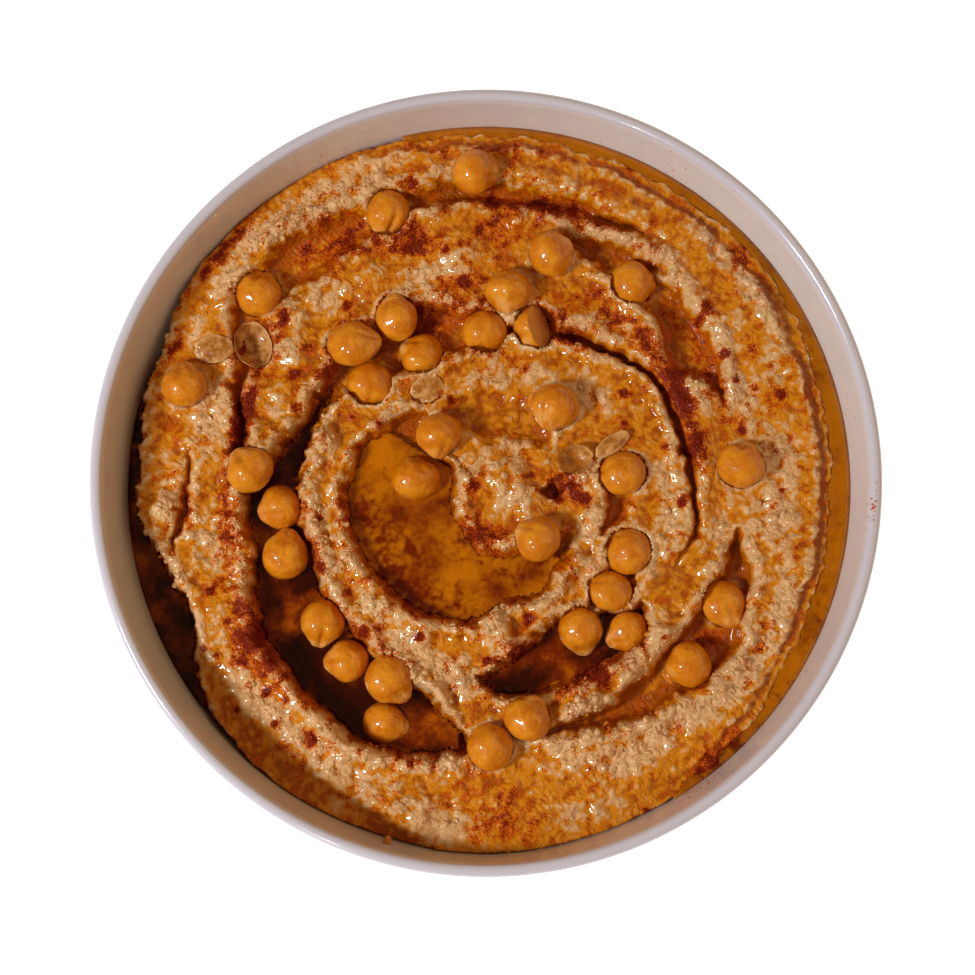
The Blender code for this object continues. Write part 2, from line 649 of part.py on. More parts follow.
def annulus_slab(pool, depth):
    """The slab of oil between two angles and two radii, as the view shows them, that a pool is cut from."""
    made = bmesh.new()
    start, end = pool.turn
    steps = round((end - start) / SLAB_STEP)
    sides = []
    for radius in pool.reach:
        sides.append([])
        for k in range(steps + 1):
            t = math.radians(start + (end - start) * k / steps)
            spot = place(radius * math.cos(t), radius * math.sin(t), FOOD_LEVEL)
            reach = min(1.0, (wall_radius(pool.level - depth) - 2 * GAP) / math.hypot(spot.x, spot.y))
            sides[-1].append([
                made.verts.new((spot.x * reach, spot.y * reach, z)) for z in (pool.level - depth, pool.level)
            ])
    inner, outer = sides
    for k in range(steps):
        for level in (0, 1):
            made.faces.new((inner[k][level], outer[k][level], outer[k + 1][level], inner[k + 1][level]))
        for side in (inner, outer):
            made.faces.new((side[k][0], side[k + 1][0], side[k + 1][1], side[k][1]))
    for k in (0, steps):
        made.faces.new((inner[k][0], outer[k][0], outer[k][1], inner[k][1]))
    bmesh.ops.recalc_face_normals(made, faces=made.faces)
    bmesh.ops.triangulate(made, faces=made.faces)
    return made


def collect(name, objects):
    """A hidden collection of cutters."""
    group = bpy.data.collections.new(name)
    bpy.context.scene.collection.children.link(group)
    for cutter in objects:
        bpy.context.scene.collection.objects.unlink(cutter)
        group.objects.link(cutter)
        cutter.hide_render = True
        cutter.display_type = "WIRE"
    return group


def subtract(made, group):
    """Takes a collection's solids away from an object, and makes the result its mesh."""
    cut = made.modifiers.new("seats", "BOOLEAN")
    cut.operation = "DIFFERENCE"
    cut.operand_type = "COLLECTION"
    cut.collection = group
    cut.solver = "EXACT"
    graph = bpy.context.evaluated_depsgraph_get()
    result = bpy.data.meshes.new_from_object(made.evaluated_get(graph))
    body = bmesh.new()
    body.from_mesh(result)
    body = in_order(body)
    body.to_mesh(result)
    body.free()
    made.modifiers.remove(cut)
    old, made.data = made.data, result
    bpy.data.meshes.remove(old)


def keep_largest(made, flatness):
    """Drops the scraps that a cut leaves, and joins faces that lie within this many degrees."""
    body = bmesh.new()
    body.from_mesh(made.data)
    bmesh.ops.remove_doubles(body, verts=body.verts, dist=MERGE_DISTANCE * MM)
    left, islands = set(body.verts), []
    while left:
        island, front = set(), [left.pop()]
        while front:
            point = front.pop()
            island.add(point)
            near = {edge.other_vert(point) for edge in point.link_edges} & left
            left -= near
            front.extend(near)
        islands.append(island)
    largest = max(islands, key=lambda island: sum(f.calc_area() for p in island for f in p.link_faces))
    bmesh.ops.delete(body, geom=[p for p in body.verts if p not in largest], context="VERTS")
    bmesh.ops.dissolve_limit(body, angle_limit=math.radians(flatness), verts=body.verts, edges=body.edges)
    bmesh.ops.triangulate(body, faces=body.faces)
    body.to_mesh(made.data)
    body.free()


def make_peas(finish):
    """The chickpeas, and the cutters for their seats."""
    peas, cutters = [], []
    for number, pea in enumerate(PEAS, start=1):
        spot, rotation = pea_location(pea, hummus_height), pea_turn(number, pea)
        for grow, group in ((0.0, peas), (SEAT_GAP, cutters)):
            body = pea_mesh(pea, number * PEA_CHARACTER, grow)
            if number == HALF_PEA:
                body = cut_half(body, rotation, grow)
            name = f"chickpea_{number:02d}" if group is peas else f"seat_{number:02d}"
            made = add_object(name, body, finish if group is peas else None, spot, rotation)
            group.append(made)
            if group is peas:
                shade_round(made)
    return peas, cutters


def make_skins(finish):
    """The loose skins, and the cutters for their seats."""
    skins, cutters = [], []
    for skin in SKINS:
        spot = place(skin.across, skin.up, FOOD_LEVEL)
        level = float(hummus_height(np.array([spot.x]), np.array([spot.y]))[0]) + skin.lift
        spot = place(skin.across, skin.up, level)
        heading = Matrix.Rotation(math.radians(skin.heading), 3, "Z")
        rotation = heading @ Matrix.Rotation(math.radians(skin.tilt), 3, "X")
        if skin.cup:
            radii = (skin.long, skin.short, CUP_DEPTH)
            body, seat = skin_cup(radii, SKIN_THICKNESS), filled_cup(radii, SEAT_GAP)
        else:
            radii = (skin.long, skin.short)
            body = skin_flake(radii, SKIN_BEND, SKIN_THICKNESS)
            seat = skin_flake(radii, SKIN_BEND, SKIN_THICKNESS, grow=SEAT_GAP)
        skins.append(add_object(skin.name, body, finish, spot, rotation))
        shade_round(skins[-1])
        cutters.append(add_object("seat_" + skin.name, seat, None, spot, rotation))
    return skins, cutters


def make_pools(finish, seats):
    """Each pool is its slab of oil, less the hummus raised by a gap and less what stands in it."""
    for pool in POOLS:
        slab = add_object(pool.name, annulus_slab(pool, SLAB_DEPTH), finish)
        core = add_object(pool.name + "_core", hummus_mesh(lift=GAP), None)
        group = collect(pool.name + "_cut", [core])
        subtract(slab, group)
        subtract(slab, seats)
        keep_largest(slab, POOL_FLATNESS)
        bpy.data.objects.remove(core)


def main():
    for old in list(bpy.data.objects):
        bpy.data.objects.remove(old)
    stoneware = material("white_glaze", (0.80, 0.77, 0.74), 0.2)
    paste = material("hummus_paste", (0.63, 0.42, 0.20), 0.45)
    oil = material("spiced_oil", (0.36, 0.11, 0.01), 0.08, alpha=0.9)
    pea_skin = material("cooked_chickpea", (0.66, 0.34, 0.08), 0.3)
    loose_skin = material("loose_skin", (0.55, 0.32, 0.14), 0.3, alpha=0.7)

    shade_round(add_object("bowl", bowl_mesh(), stoneware), 35)
    peas, pea_seats = make_peas(pea_skin)
    skins, skin_seats = make_skins(loose_skin)
    seats = collect("seats", pea_seats + skin_seats)
    hummus = add_object("hummus", hummus_mesh(), paste)
    subtract(hummus, seats)
    keep_largest(hummus, HUMMUS_FLATNESS)
    make_pools(oil, seats)
    for seat in list(seats.objects):
        bpy.data.objects.remove(seat)


main()
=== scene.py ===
# %% [markdown]
# # A bowl of hummus, seen from above
#
# The imported model gives the places and sizes: a bowl, the hummus in it, pools of oil, chickpeas and
# loose skins. This lesson dresses each of them. Lengths are in millimetres until a mesh is made, because
# food is easier to think of in millimetres, and Blender's metres come in only at the last moment. The
# weights in the recipes for colour and relief were set one by one.

import math
from collections import namedtuple

import bmesh
import bpy
import numpy as np
from mathutils import Matrix, Vector, noise


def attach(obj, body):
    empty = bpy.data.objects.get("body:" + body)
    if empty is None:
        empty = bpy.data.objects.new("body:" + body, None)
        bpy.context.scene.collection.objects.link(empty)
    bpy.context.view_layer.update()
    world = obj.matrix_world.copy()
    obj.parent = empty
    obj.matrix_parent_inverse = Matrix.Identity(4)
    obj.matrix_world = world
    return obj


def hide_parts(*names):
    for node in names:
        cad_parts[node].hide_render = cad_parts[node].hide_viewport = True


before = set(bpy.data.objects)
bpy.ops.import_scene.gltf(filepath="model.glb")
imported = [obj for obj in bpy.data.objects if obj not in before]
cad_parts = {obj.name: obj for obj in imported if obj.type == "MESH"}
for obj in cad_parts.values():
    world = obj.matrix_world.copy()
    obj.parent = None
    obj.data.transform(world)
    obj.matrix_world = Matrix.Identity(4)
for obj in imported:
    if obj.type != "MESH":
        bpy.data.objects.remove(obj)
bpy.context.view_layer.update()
MM = 0.001
print("pieces in the frame:", len(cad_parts))

# %% [markdown]
# ## Places as the eye reads them
#
# The bowl is seen from nearly overhead, a little from the front. The places below are read in that view:
# across and up, or angle and radius, in millimetres in the plane of the rim. These functions carry them to
# the real height.

# %% The view
RIM_HEIGHT = 50.0
FOOD_LEVEL = 35.0
VIEW_DISTANCE = 600.0
VIEW_TILT = math.radians(6.4)
VIEW_AIM = (0.3, -2.5)
VIEW_BACK = Vector((0, -math.sin(VIEW_TILT), math.cos(VIEW_TILT)))
VIEW_UP = Vector((0, math.cos(VIEW_TILT), math.sin(VIEW_TILT)))
EYE = Vector((*VIEW_AIM, RIM_HEIGHT)) + VIEW_BACK * VIEW_DISTANCE


def place(across, up, height):
    """The point at this height that the view shows at (across, up)."""
    ray = Vector((across, 0, 0)) + VIEW_UP * up - VIEW_BACK * VIEW_DISTANCE
    return EYE + ray * ((height - EYE.z) / ray.z)


def seen_at(x, y):
    """Where the view shows points of the food, as across and up."""
    dx, dy, dz = x - EYE.x, y - EYE.y, FOOD_LEVEL - EYE.z
    scale = -VIEW_DISTANCE / (dy * VIEW_BACK.y + dz * VIEW_BACK.z)
    return dx * scale, (dy * VIEW_UP.y + dz * VIEW_UP.z) * scale


def as_seen(x, y):
    """The same as angle in degrees and radius."""
    across, up = seen_at(x, y)
    return np.degrees(np.arctan2(up, across)), np.hypot(across, up)


print("the middle of the view on the food:", [round(v, 1) for v in place(0, 0, FOOD_LEVEL)])

# %% [markdown]
# ## Camera
#
# The camera looks from the same direction and distance as the eye above. Its aim is about half a millimetre
# off the eye's, which lines up the rim. Its lens is the one that gives the rim its size in the frame.

# %% Camera
LENS = 88.1
SENSOR = 36.0
CLIP_START = 0.01
CAMERA_AIM = Vector((0.45, -3.05, RIM_HEIGHT))


def add_object(name, data):
    """A new object of the scene that carries this mesh, lamp or camera."""
    made = bpy.data.objects.new(name, data)
    bpy.context.scene.collection.objects.link(made)
    return made


camera_data = bpy.data.cameras.new("camera")
camera_data.lens = LENS
camera_data.sensor_width = SENSOR
camera_data.clip_start = CLIP_START
camera = add_object("camera", camera_data)
camera.location = (CAMERA_AIM + VIEW_BACK * VIEW_DISTANCE) * MM
camera.rotation_euler = (VIEW_TILT, 0, 0)
bpy.context.scene.camera = camera
print("camera height:", round(camera.location.z, 3), "m")

# %% [markdown]
# ## Light
#
# One lamp does most of the work: it stands to the left, about 45 degrees up, and is small enough to give
# each chickpea a clear shadow. A second, weaker lamp puts the small second highlight on everything wet. The
# shadows are filled by a wide, warm and weak lamp on the far side, and by a faint warm sky.

# %% Light
KEY = {"turn": 203, "rise": 44, "away": 1.2, "size": 0.17, "watts": 9.6, "colour": (1.0, 0.99, 0.98)}
GLINT = {"turn": 243, "rise": 41, "away": 1.2, "size": 0.06, "watts": 1.5, "colour": (1.0, 0.98, 0.96)}
WARM_FILL = {"turn": 20, "rise": 42, "away": 1.1, "size": 1.2, "watts": 3.4, "colour": (1.0, 0.64, 0.32)}
SKY = {"colour": (1.0, 0.71, 0.40), "strength": 0.2}


def add_lamp(name, turn, rise, away, size, watts, colour):
    """A square lamp aimed at the bowl. Its turn and rise are in degrees, the rest in metres."""
    data = bpy.data.lights.new(name, "AREA")
    data.energy = watts
    data.size = size
    data.color = colour
    lamp = add_object(name, data)
    turn, rise = math.radians(turn), math.radians(rise)
    towards = Vector((math.cos(rise) * math.cos(turn), math.cos(rise) * math.sin(turn), math.sin(rise)))
    lamp.location = towards * away
    lamp.rotation_euler = towards.to_track_quat("Z", "Y").to_euler()


add_lamp("key_lamp", **KEY)
add_lamp("glint_lamp", **GLINT)
add_lamp("warm_fill", **WARM_FILL)
world = bpy.data.worlds.new("sky")
bpy.context.scene.world = world
world.use_nodes = True
background = world.node_tree.nodes["Background"].inputs
background["Color"].default_value = (*SKY["colour"], 1)
background["Strength"].default_value = SKY["strength"]
bpy.context.scene.view_settings.view_transform = "Standard"

# %% [markdown]
# ## Helpers for node trees
#
# Shader and geometry trees are both lists of nodes with wires. One helper makes a node and fills or wires its
# sockets by name, so that the trees below read as short recipes.

# %% Node helpers


def add_node(tree, kind, sockets=None, **settings):
    """A node with its settings, and its named or numbered sockets filled with values or wired to outputs."""
    made = tree.nodes.new(kind)
    for name, value in settings.items():
        setattr(made, name, value)
    for key, value in (sockets or {}).items():
        if isinstance(value, bpy.types.NodeSocket):
            tree.links.new(value, made.inputs[key])
        else:
            made.inputs[key].default_value = value
    return made


def calculate(tree, operation, first, second=0.0, third=0.0, clamp=False):
    return add_node(
        tree, "ShaderNodeMath", {0: first, 1: second, 2: third}, operation=operation, use_clamp=clamp
    ).outputs[0]


def scaled(tree, value, times, plus, clamp=False):
    """The value times one number, plus another."""
    return calculate(tree, "MULTIPLY_ADD", value, times, plus, clamp)


def blend_colours(tree, factor, low, high):
    return add_node(tree, "ShaderNodeMix", {0: factor, 6: low, 7: high}, data_type="RGBA").outputs[2]


def soft_step(tree, value, start, end):
    """0 below start, 1 above end and a smooth rise between."""
    sockets = {"Value": value, "From Min": start, "From Max": end, "To Min": 0.0, "To Max": 1.0}
    return add_node(tree, "ShaderNodeMapRange", sockets, interpolation_type="SMOOTHSTEP").outputs[0]


def grain_noise(tree, where, size, detail=3.0, roughness=0.5):
    """Noise whose features are about this many millimetres long."""
    sockets = {"Vector": where, "Scale": 1 / (size * MM), "Detail": detail, "Roughness": roughness}
    return add_node(tree, "ShaderNodeTexNoise", sockets).outputs[0]


def attribute(tree, name):
    return add_node(tree, "ShaderNodeAttribute", attribute_name=name).outputs["Fac"]


def new_material(name, **sockets):
    """A material with a Principled BSDF, and the values that are the same all over its surface."""
    made = bpy.data.materials.new(name)
    made.use_nodes = True
    shader = made.node_tree.nodes["Principled BSDF"]
    for key, value in sockets.items():
        shader.inputs[key.replace("_", " ")].default_value = value
    return made, made.node_tree, shader


def object_coordinates(tree):
    return add_node(tree, "ShaderNodeTexCoord").outputs["Object"]


def add_bump(tree, shader, height, strength, distance):
    """Relief too fine for the mesh, `distance` millimetres high."""
    sockets = {"Height": height, "Strength": strength, "Distance": distance * MM}
    bump = add_node(tree, "ShaderNodeBump", sockets)
    tree.links.new(bump.outputs[0], shader.inputs["Normal"])


print("node helpers ready")

# %% [markdown]
# ## Floor
#
# The floor is a plain pale sheet, much larger than the bowl. It glows, because a sheet lit by the lamps
# alone would look grey beside the white glaze. It isn't part of the object.

# %% Floor
FLOOR_SIZE = 6.0
floor_mesh = bpy.data.meshes.new("floor")
half = FLOOR_SIZE / 2
corners = [(-half, -half, 0), (half, -half, 0), (half, half, 0), (-half, half, 0)]
floor_mesh.from_pydata(corners, [], [(0, 1, 2, 3)])
floor = add_object("floor", floor_mesh)
floor_material, _, _ = new_material(
    "pale_floor", Base_Color=(0.4, 0.4, 0.4, 1), Roughness=0.9, Emission_Color=(1, 1, 1, 1),
    Emission_Strength=0.93,
)
floor_mesh.materials.append(floor_material)
print("floor:", FLOOR_SIZE, "m")

# %% [markdown]
# ## Paprika dust, as a shader group
#
# Ground paprika lies on the hummus, the chickpeas and the wall alike, so one shader group makes it for all
# of them. Noise of the grain's size passes a threshold that falls as the amount rises: first single specks
# show, then they join into clots. The same noise picks each speck's colour, from orange red to dark red.

# %% Dust group
SPECK_EDGE = (0.45, 0.62)
SPECK_DARKENS = (0.56, 1.02)
DRY_PAPRIKA = (0.58, 0.105, 0.0006, 1)
WET_PAPRIKA = (0.17, 0.010, 0.0002, 1)


def dust_group():
    group = bpy.data.node_groups.new("paprika_dust", "ShaderNodeTree")
    for label in ("Noise", "Amount"):
        group.interface.new_socket(label, in_out="INPUT", socket_type="NodeSocketFloat")
    group.interface.new_socket("Mask", in_out="OUTPUT", socket_type="NodeSocketFloat")
    group.interface.new_socket("Colour", in_out="OUTPUT", socket_type="NodeSocketColor")
    given = group.nodes.new("NodeGroupInput").outputs
    out = group.nodes.new("NodeGroupOutput")
    level = scaled(group, given["Noise"], 2.0, calculate(group, "SUBTRACT", given["Amount"], 1.0))
    group.links.new(soft_step(group, level, *SPECK_EDGE), out.inputs["Mask"])
    wet = soft_step(group, level, *SPECK_DARKENS)
    group.links.new(blend_colours(group, wet, DRY_PAPRIKA, WET_PAPRIKA), out.inputs["Colour"])
    return group


paprika_dust = dust_group()


def dusted(tree, amount, grain_value, base):
    """The base colour with dust on it, and the dust's mask."""
    sockets = {"Noise": grain_value, "Amount": amount}
    dust = add_node(tree, "ShaderNodeGroup", sockets, node_tree=paprika_dust).outputs
    return blend_colours(tree, dust["Mask"], base, dust["Colour"]), dust["Mask"]


print("dust group:", paprika_dust.name)

# %% [markdown]
# ## The bowl
#
# A bowl is thrown or pressed round an axis, so half of its outline holds its whole shape. The outline is
# worked out first: foot, wall, rounded lip, inside wall and floor. Then a Geometry Nodes tree wraps a grid
# round the axis, one row of the grid for each point of the outline. Spinning in bmesh would do too. The
# tree is used because the number of sides stays an input that can be changed at any time.

# %% The bowl's outline
RIM_RADIUS = 100.0
LIP_INNER_RADIUS = 97.0
LIP_ROUND = 1.6
WALL_TAPER = 1 / 6
WALL_THICKNESS = 3.2
FLOOR_HEIGHT = 6.5
CORNER_RADIUS = 16.0
FOOT_INNER_RADIUS = 59.5
FOOT_OUTER_RADIUS = 66.0
FOOT_HEIGHT = 2.5
FOOT_ROUND = 0.8
FOOT_CREASE = 1.5
UNDERSIDE_END = 2.0  # from the foot ring, as the crease is
OUTSIDE_ARC = (-62, 0)
LIP_ARC = (-10, 150)
ARC_PIECES = 14
FOOT_PIECES = 4
WALL_PIECES = 10
FLAT_PIECES = 6


def wall_radius(z):
    """Inner radius of the bowl at a height, or the smallest there is at the floor."""
    bend = FLOOR_HEIGHT + CORNER_RADIUS
    if z >= bend:
        return LIP_INNER_RADIUS - (RIM_HEIGHT - z) * WALL_TAPER
    at_bend = LIP_INNER_RADIUS - (RIM_HEIGHT - bend) * WALL_TAPER
    drop = min((bend - z) / CORNER_RADIUS, 1.0)
    return at_bend - CORNER_RADIUS * (1 - math.sqrt(1 - drop**2))


def arc(centre, radius, start, end, pieces):
    """Points (radius, height) of an arc, angles in degrees, both ends included."""
    turns = [math.radians(start + (end - start) * i / pieces) for i in range(pieces + 1)]
    return [(centre[0] + radius * math.cos(t), centre[1] + radius * math.sin(t)) for t in turns]


def run(start, end, pieces):
    """Evenly spaced points of a straight run, without its ends."""
    return [
        (start[0] + (end[0] - start[0]) * i / pieces, start[1] + (end[1] - start[1]) * i / pieces)
        for i in range(1, pieces)
    ]


def bowl_outline():
    """Half outline, from the middle of the underside out and over the lip to the middle of the floor."""
    bend = FLOOR_HEIGHT + CORNER_RADIUS
    corner = (wall_radius(bend) - CORNER_RADIUS, bend)
    outside = arc(corner, CORNER_RADIUS + WALL_THICKNESS, *OUTSIDE_ARC, ARC_PIECES)
    lip = arc((RIM_RADIUS - LIP_ROUND, RIM_HEIGHT - LIP_ROUND), LIP_ROUND, *LIP_ARC, ARC_PIECES)
    inside = arc(corner, CORNER_RADIUS, 0, -90, ARC_PIECES)
    foot_in = arc((FOOT_INNER_RADIUS + FOOT_ROUND, FOOT_ROUND), FOOT_ROUND, 180, 270, FOOT_PIECES)
    foot_out = arc((FOOT_OUTER_RADIUS - FOOT_ROUND, FOOT_ROUND), FOOT_ROUND, 270, 360, FOOT_PIECES)
    under, middle = (0, FOOT_HEIGHT), (0, FLOOR_HEIGHT)
    points = [under, *run(under, (FOOT_INNER_RADIUS - UNDERSIDE_END, FOOT_HEIGHT), FLAT_PIECES)]
    points.append((FOOT_INNER_RADIUS - FOOT_CREASE, FOOT_HEIGHT))
    points += foot_in + foot_out + [(FOOT_OUTER_RADIUS + FOOT_CREASE, FOOT_HEIGHT)]
    points += outside + run(outside[-1], lip[0], WALL_PIECES)
    points += lip + run(lip[-1], inside[0], WALL_PIECES)
    return points + inside + run(inside[-1], middle, FLAT_PIECES) + [middle]


outline = bowl_outline()
print("points in the outline:", len(outline))

# %% [markdown]
# ## Wrapping the outline round the axis
#
# The tree reads the outline's points by number. Each grid point asks for the outline point of its row, and
# turns by its column's share of a full circle. The first and last column meet, and Merge by Distance closes
# that seam and the two poles.

# %% The bowl's tree
BOWL_SIDES = 256


def new_tree(name, inputs):
    """A Geometry Nodes tree with its named inputs, and its input and output nodes."""
    tree = bpy.data.node_groups.new(name, "GeometryNodeTree")
    tree.interface.new_socket("Geometry", in_out="INPUT", socket_type="NodeSocketGeometry")
    for label, kind in inputs:
        tree.interface.new_socket(label, in_out="INPUT", socket_type="NodeSocket" + kind)
    tree.interface.new_socket("Geometry", in_out="OUTPUT", socket_type="NodeSocketGeometry")
    return tree, tree.nodes.new("NodeGroupInput").outputs, tree.nodes.new("NodeGroupOutput")


def add_step(tree, kind, geometry, **sockets):
    """A node that changes a geometry, and the geometry that it puts out."""
    return add_node(tree, "GeometryNode" + kind, {"Geometry": geometry, **sockets}).outputs[0]


def run_tree(made, tree, values):
    """Runs a tree on an object with these named inputs, and returns the result as a plain mesh."""
    modifier = made.modifiers.new(tree.name, "NODES")
    modifier.node_group = tree
    for socket in tree.interface.items_tree:
        if socket.in_out == "INPUT" and socket.name in values:
            modifier[socket.identifier] = values[socket.name]
    graph = bpy.context.evaluated_depsgraph_get()
    result = bpy.data.meshes.new_from_object(made.evaluated_get(graph))
    made.modifiers.remove(modifier)
    return result


def revolve_tree():
    tree, given, out = new_tree(
        "revolve_outline", [("Sides", "Int"), ("Points", "Int"), ("Seam", "Float"), ("Finish", "Material")]
    )
    grid = add_node(tree, "GeometryNodeMeshGrid", {"Vertices Y": given["Points"]})
    columns = calculate(tree, "ADD", given["Sides"], 1)
    tree.links.new(columns, grid.inputs["Vertices X"])
    index = add_node(tree, "GeometryNodeInputIndex").outputs[0]
    row = calculate(tree, "MODULO", index, given["Points"])
    column = calculate(tree, "FLOOR", calculate(tree, "DIVIDE", index, given["Points"]))
    turn = calculate(tree, "MULTIPLY", calculate(tree, "DIVIDE", column, given["Sides"]), 2 * math.pi)
    read = add_node(
        tree, "GeometryNodeSampleIndex", {"Geometry": given["Geometry"]}, data_type="FLOAT_VECTOR"
    )
    tree.links.new(add_node(tree, "GeometryNodeInputPosition").outputs[0], read.inputs["Value"])
    tree.links.new(row, read.inputs["Index"])
    point = add_node(
        tree, "ShaderNodeVectorRotate", {"Vector": read.outputs[0], "Angle": turn}, rotation_type="Z_AXIS"
    )
    wrapped = add_step(tree, "SetPosition", grid.outputs["Mesh"], Position=point.outputs[0])
    closed = add_step(tree, "MergeByDistance", wrapped, Distance=given["Seam"])
    real = add_step(tree, "RealizeInstances", closed)
    tree.links.new(add_step(tree, "SetMaterial", real, Material=given["Finish"]), out.inputs[0])
    return tree


print("tree for the bowl ready")

# %% [markdown]
# ## White glaze
#
# The glaze is white, smooth and wet-looking, and tinted a little cooler over the lip.
# Fired glaze is never quite flat, so slow noise bends its reflections. Inside, splashes of paprika oil have
# dried on it as small orange specks. The foot ring is left bare, as potters leave it so that it doesn't
# stick in the kiln.

# %% Glaze
LIP_COOLS = (47.5 * MM, 49.6 * MM)
FOOT_BARES = (1.2 * MM, 0.9 * MM)
glaze, tree, shader = new_material("white_glaze", IOR=1.5, Coat_Weight=0.3, Coat_Roughness=0.06)
where = object_coordinates(tree)
height = add_node(tree, "ShaderNodeSeparateXYZ", {0: where}).outputs["Z"]
body = blend_colours(tree, grain_noise(tree, where, 22), (0.70, 0.67, 0.67, 1), (0.75, 0.72, 0.72, 1))
lip = soft_step(tree, height, *LIP_COOLS)
cool = blend_colours(tree, lip, body, (0.62, 0.61, 0.72, 1))
foot = soft_step(tree, height, *FOOT_BARES)
clay = blend_colours(tree, grain_noise(tree, where, 0.6), (0.50, 0.42, 0.33, 1), (0.60, 0.51, 0.41, 1))
specks = grain_noise(tree, where, 0.9, detail=2, roughness=0.6)
splashed, _ = dusted(tree, attribute(tree, "spice"), specks, cool)
tree.links.new(blend_colours(tree, foot, splashed, clay), shader.inputs["Base Color"])
wet = scaled(tree, grain_noise(tree, where, 9), 0.12, 0.1)
tree.links.new(scaled(tree, foot, 0.6, wet), shader.inputs["Roughness"])
add_bump(tree, shader, grain_noise(tree, where, 7, detail=1.0), 0.25, 0.35)
print("glaze:", glaze.name)

# %% Splashes on the glaze
# Each splash is a soft oval that lies along a circle: angle, radius, half length, half width and amount.
SPLASHES = (
    (-3, 95, 4, 1.2, 0.32), (-6, 95.5, 3, 1.5, 0.25), (-52, 93, 6, 1.2, 0.34), (-57, 92.5, 4, 1.5, 0.25),
    (12, 91, 5, 2, 0.2), (60, 91, 6, 2.5, 0.2), (118, 90, 10, 2.5, 0.24), (140, 91, 8, 2, 0.22),
    (-30, 92, 6, 2, 0.2), (-95, 93, 8, 1.5, 0.2), (205, 90, 10, 3, 0.2), (165, 91, 8, 2, 0.2),
)


def patched(patches, x, y):
    """The sum of soft oval patches that lie along the circles of the view."""
    angle, radius = as_seen(x, y)
    total = np.zeros_like(x)
    for turn, out, along, across, amount in patches:
        beside = np.radians((angle - turn + 180) % 360 - 180) * out
        total += amount * np.exp(-((beside / along) ** 2) - ((radius - out) / across) ** 2)
    return total


print("splashes:", len(SPLASHES))

# %% The bowl
INSIDE_FACES = 0.5  # the inside is where the surface faces outwards by less than this share
THIN_SPLASH = 0.06
half_outline = bpy.data.meshes.new("bowl_outline")
half_outline.from_pydata(
    [(r * MM, 0, z * MM) for r, z in outline], [(i, i + 1) for i in range(len(outline) - 1)], []
)
bowl = add_object("stoneware_bowl", half_outline)
bowl_inputs = {"Sides": BOWL_SIDES, "Points": len(outline), "Seam": 0.01 * MM, "Finish": glaze}
bowl.data = run_tree(bowl, revolve_tree(), bowl_inputs)


def face_outwards(made):
    """Points a closed mesh's faces outwards."""
    shell = bmesh.new()
    shell.from_mesh(made.data)
    bmesh.ops.recalc_face_normals(shell, faces=shell.faces)
    shell.to_mesh(made.data)
    shell.free()


def read_vectors(items, name):
    """One vector of each item, as the rows of an array."""
    flat = np.empty(len(items) * 3)
    items.foreach_get(name, flat)
    return flat.reshape(-1, 3)


def keep_numbers(mesh, elsewhere=0.0, **numbers):
    """Stores numbers for the mesh's first points, and one value for all the others."""
    for name, values in numbers.items():
        padded = np.full(len(mesh.vertices), elsewhere, dtype=np.float32)
        padded[: values.size] = values.ravel()
        mesh.attributes.new(name, "FLOAT", "POINT").data.foreach_set("value", padded)


face_outwards(bowl)
bowl.data.shade_smooth()
bowl_points = read_vectors(bowl.data.vertices, "co") / MM
bowl_x, bowl_y = bowl_points[:, 0], bowl_points[:, 1]
facing = read_vectors(bowl.data.vertex_normals, "vector")
outward = (facing[:, 0] * bowl_x + facing[:, 1] * bowl_y) / np.maximum(np.hypot(bowl_x, bowl_y), 1)
amount = np.where(outward < INSIDE_FACES, THIN_SPLASH + patched(SPLASHES, bowl_x, bowl_y), 0)
keep_numbers(bowl.data, spice=amount)
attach(bowl, "root")
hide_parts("bowl")
print("bowl:", len(bowl.data.polygons), "faces")

# %% [markdown]
# ## Strokes of the spoon
#
# The top of the hummus is what a spoon left: curved hollows, with a lip of paste pushed up beside each of
# them. Each stroke is a band between an inner and an outer radius that change with the angle. A height is
# read at any point from how far inside the band it lies. Lumps are soft hills. Sculpting by hand would also
# work, but a rule can be worked out as finely as the mesh needs.

# %% Stroke and lump tables
PLATEAU = 35.2
EDGE_START = 83.0
EDGE_FALL = 0.22
HEAP_RISE = 3.5
HEAP_ANGLE = 270.0
HEAP_SPREAD = 16.0
HEAP_START = 74
HEAP_RUN = 18
LIP_OUT = 1.2
LIP_WIDTH = 2.0
LIP_ENDS = 7.0
FILM_MARGIN = 0.6
FILM_RISE = 1.8
RUFFLE = ((1.5, 9.0), (0.7, 3.6))
ROLL = ((0.9, 17.0), (0.45, 6.0))
DRIFT_SEEDS = (3.1, 8.7)
ROLL_SEED = 5.3

Stroke = namedtuple("Stroke", "name floor slope lip film edges")
Lump = namedtuple("Lump", "angle radius spread rise")

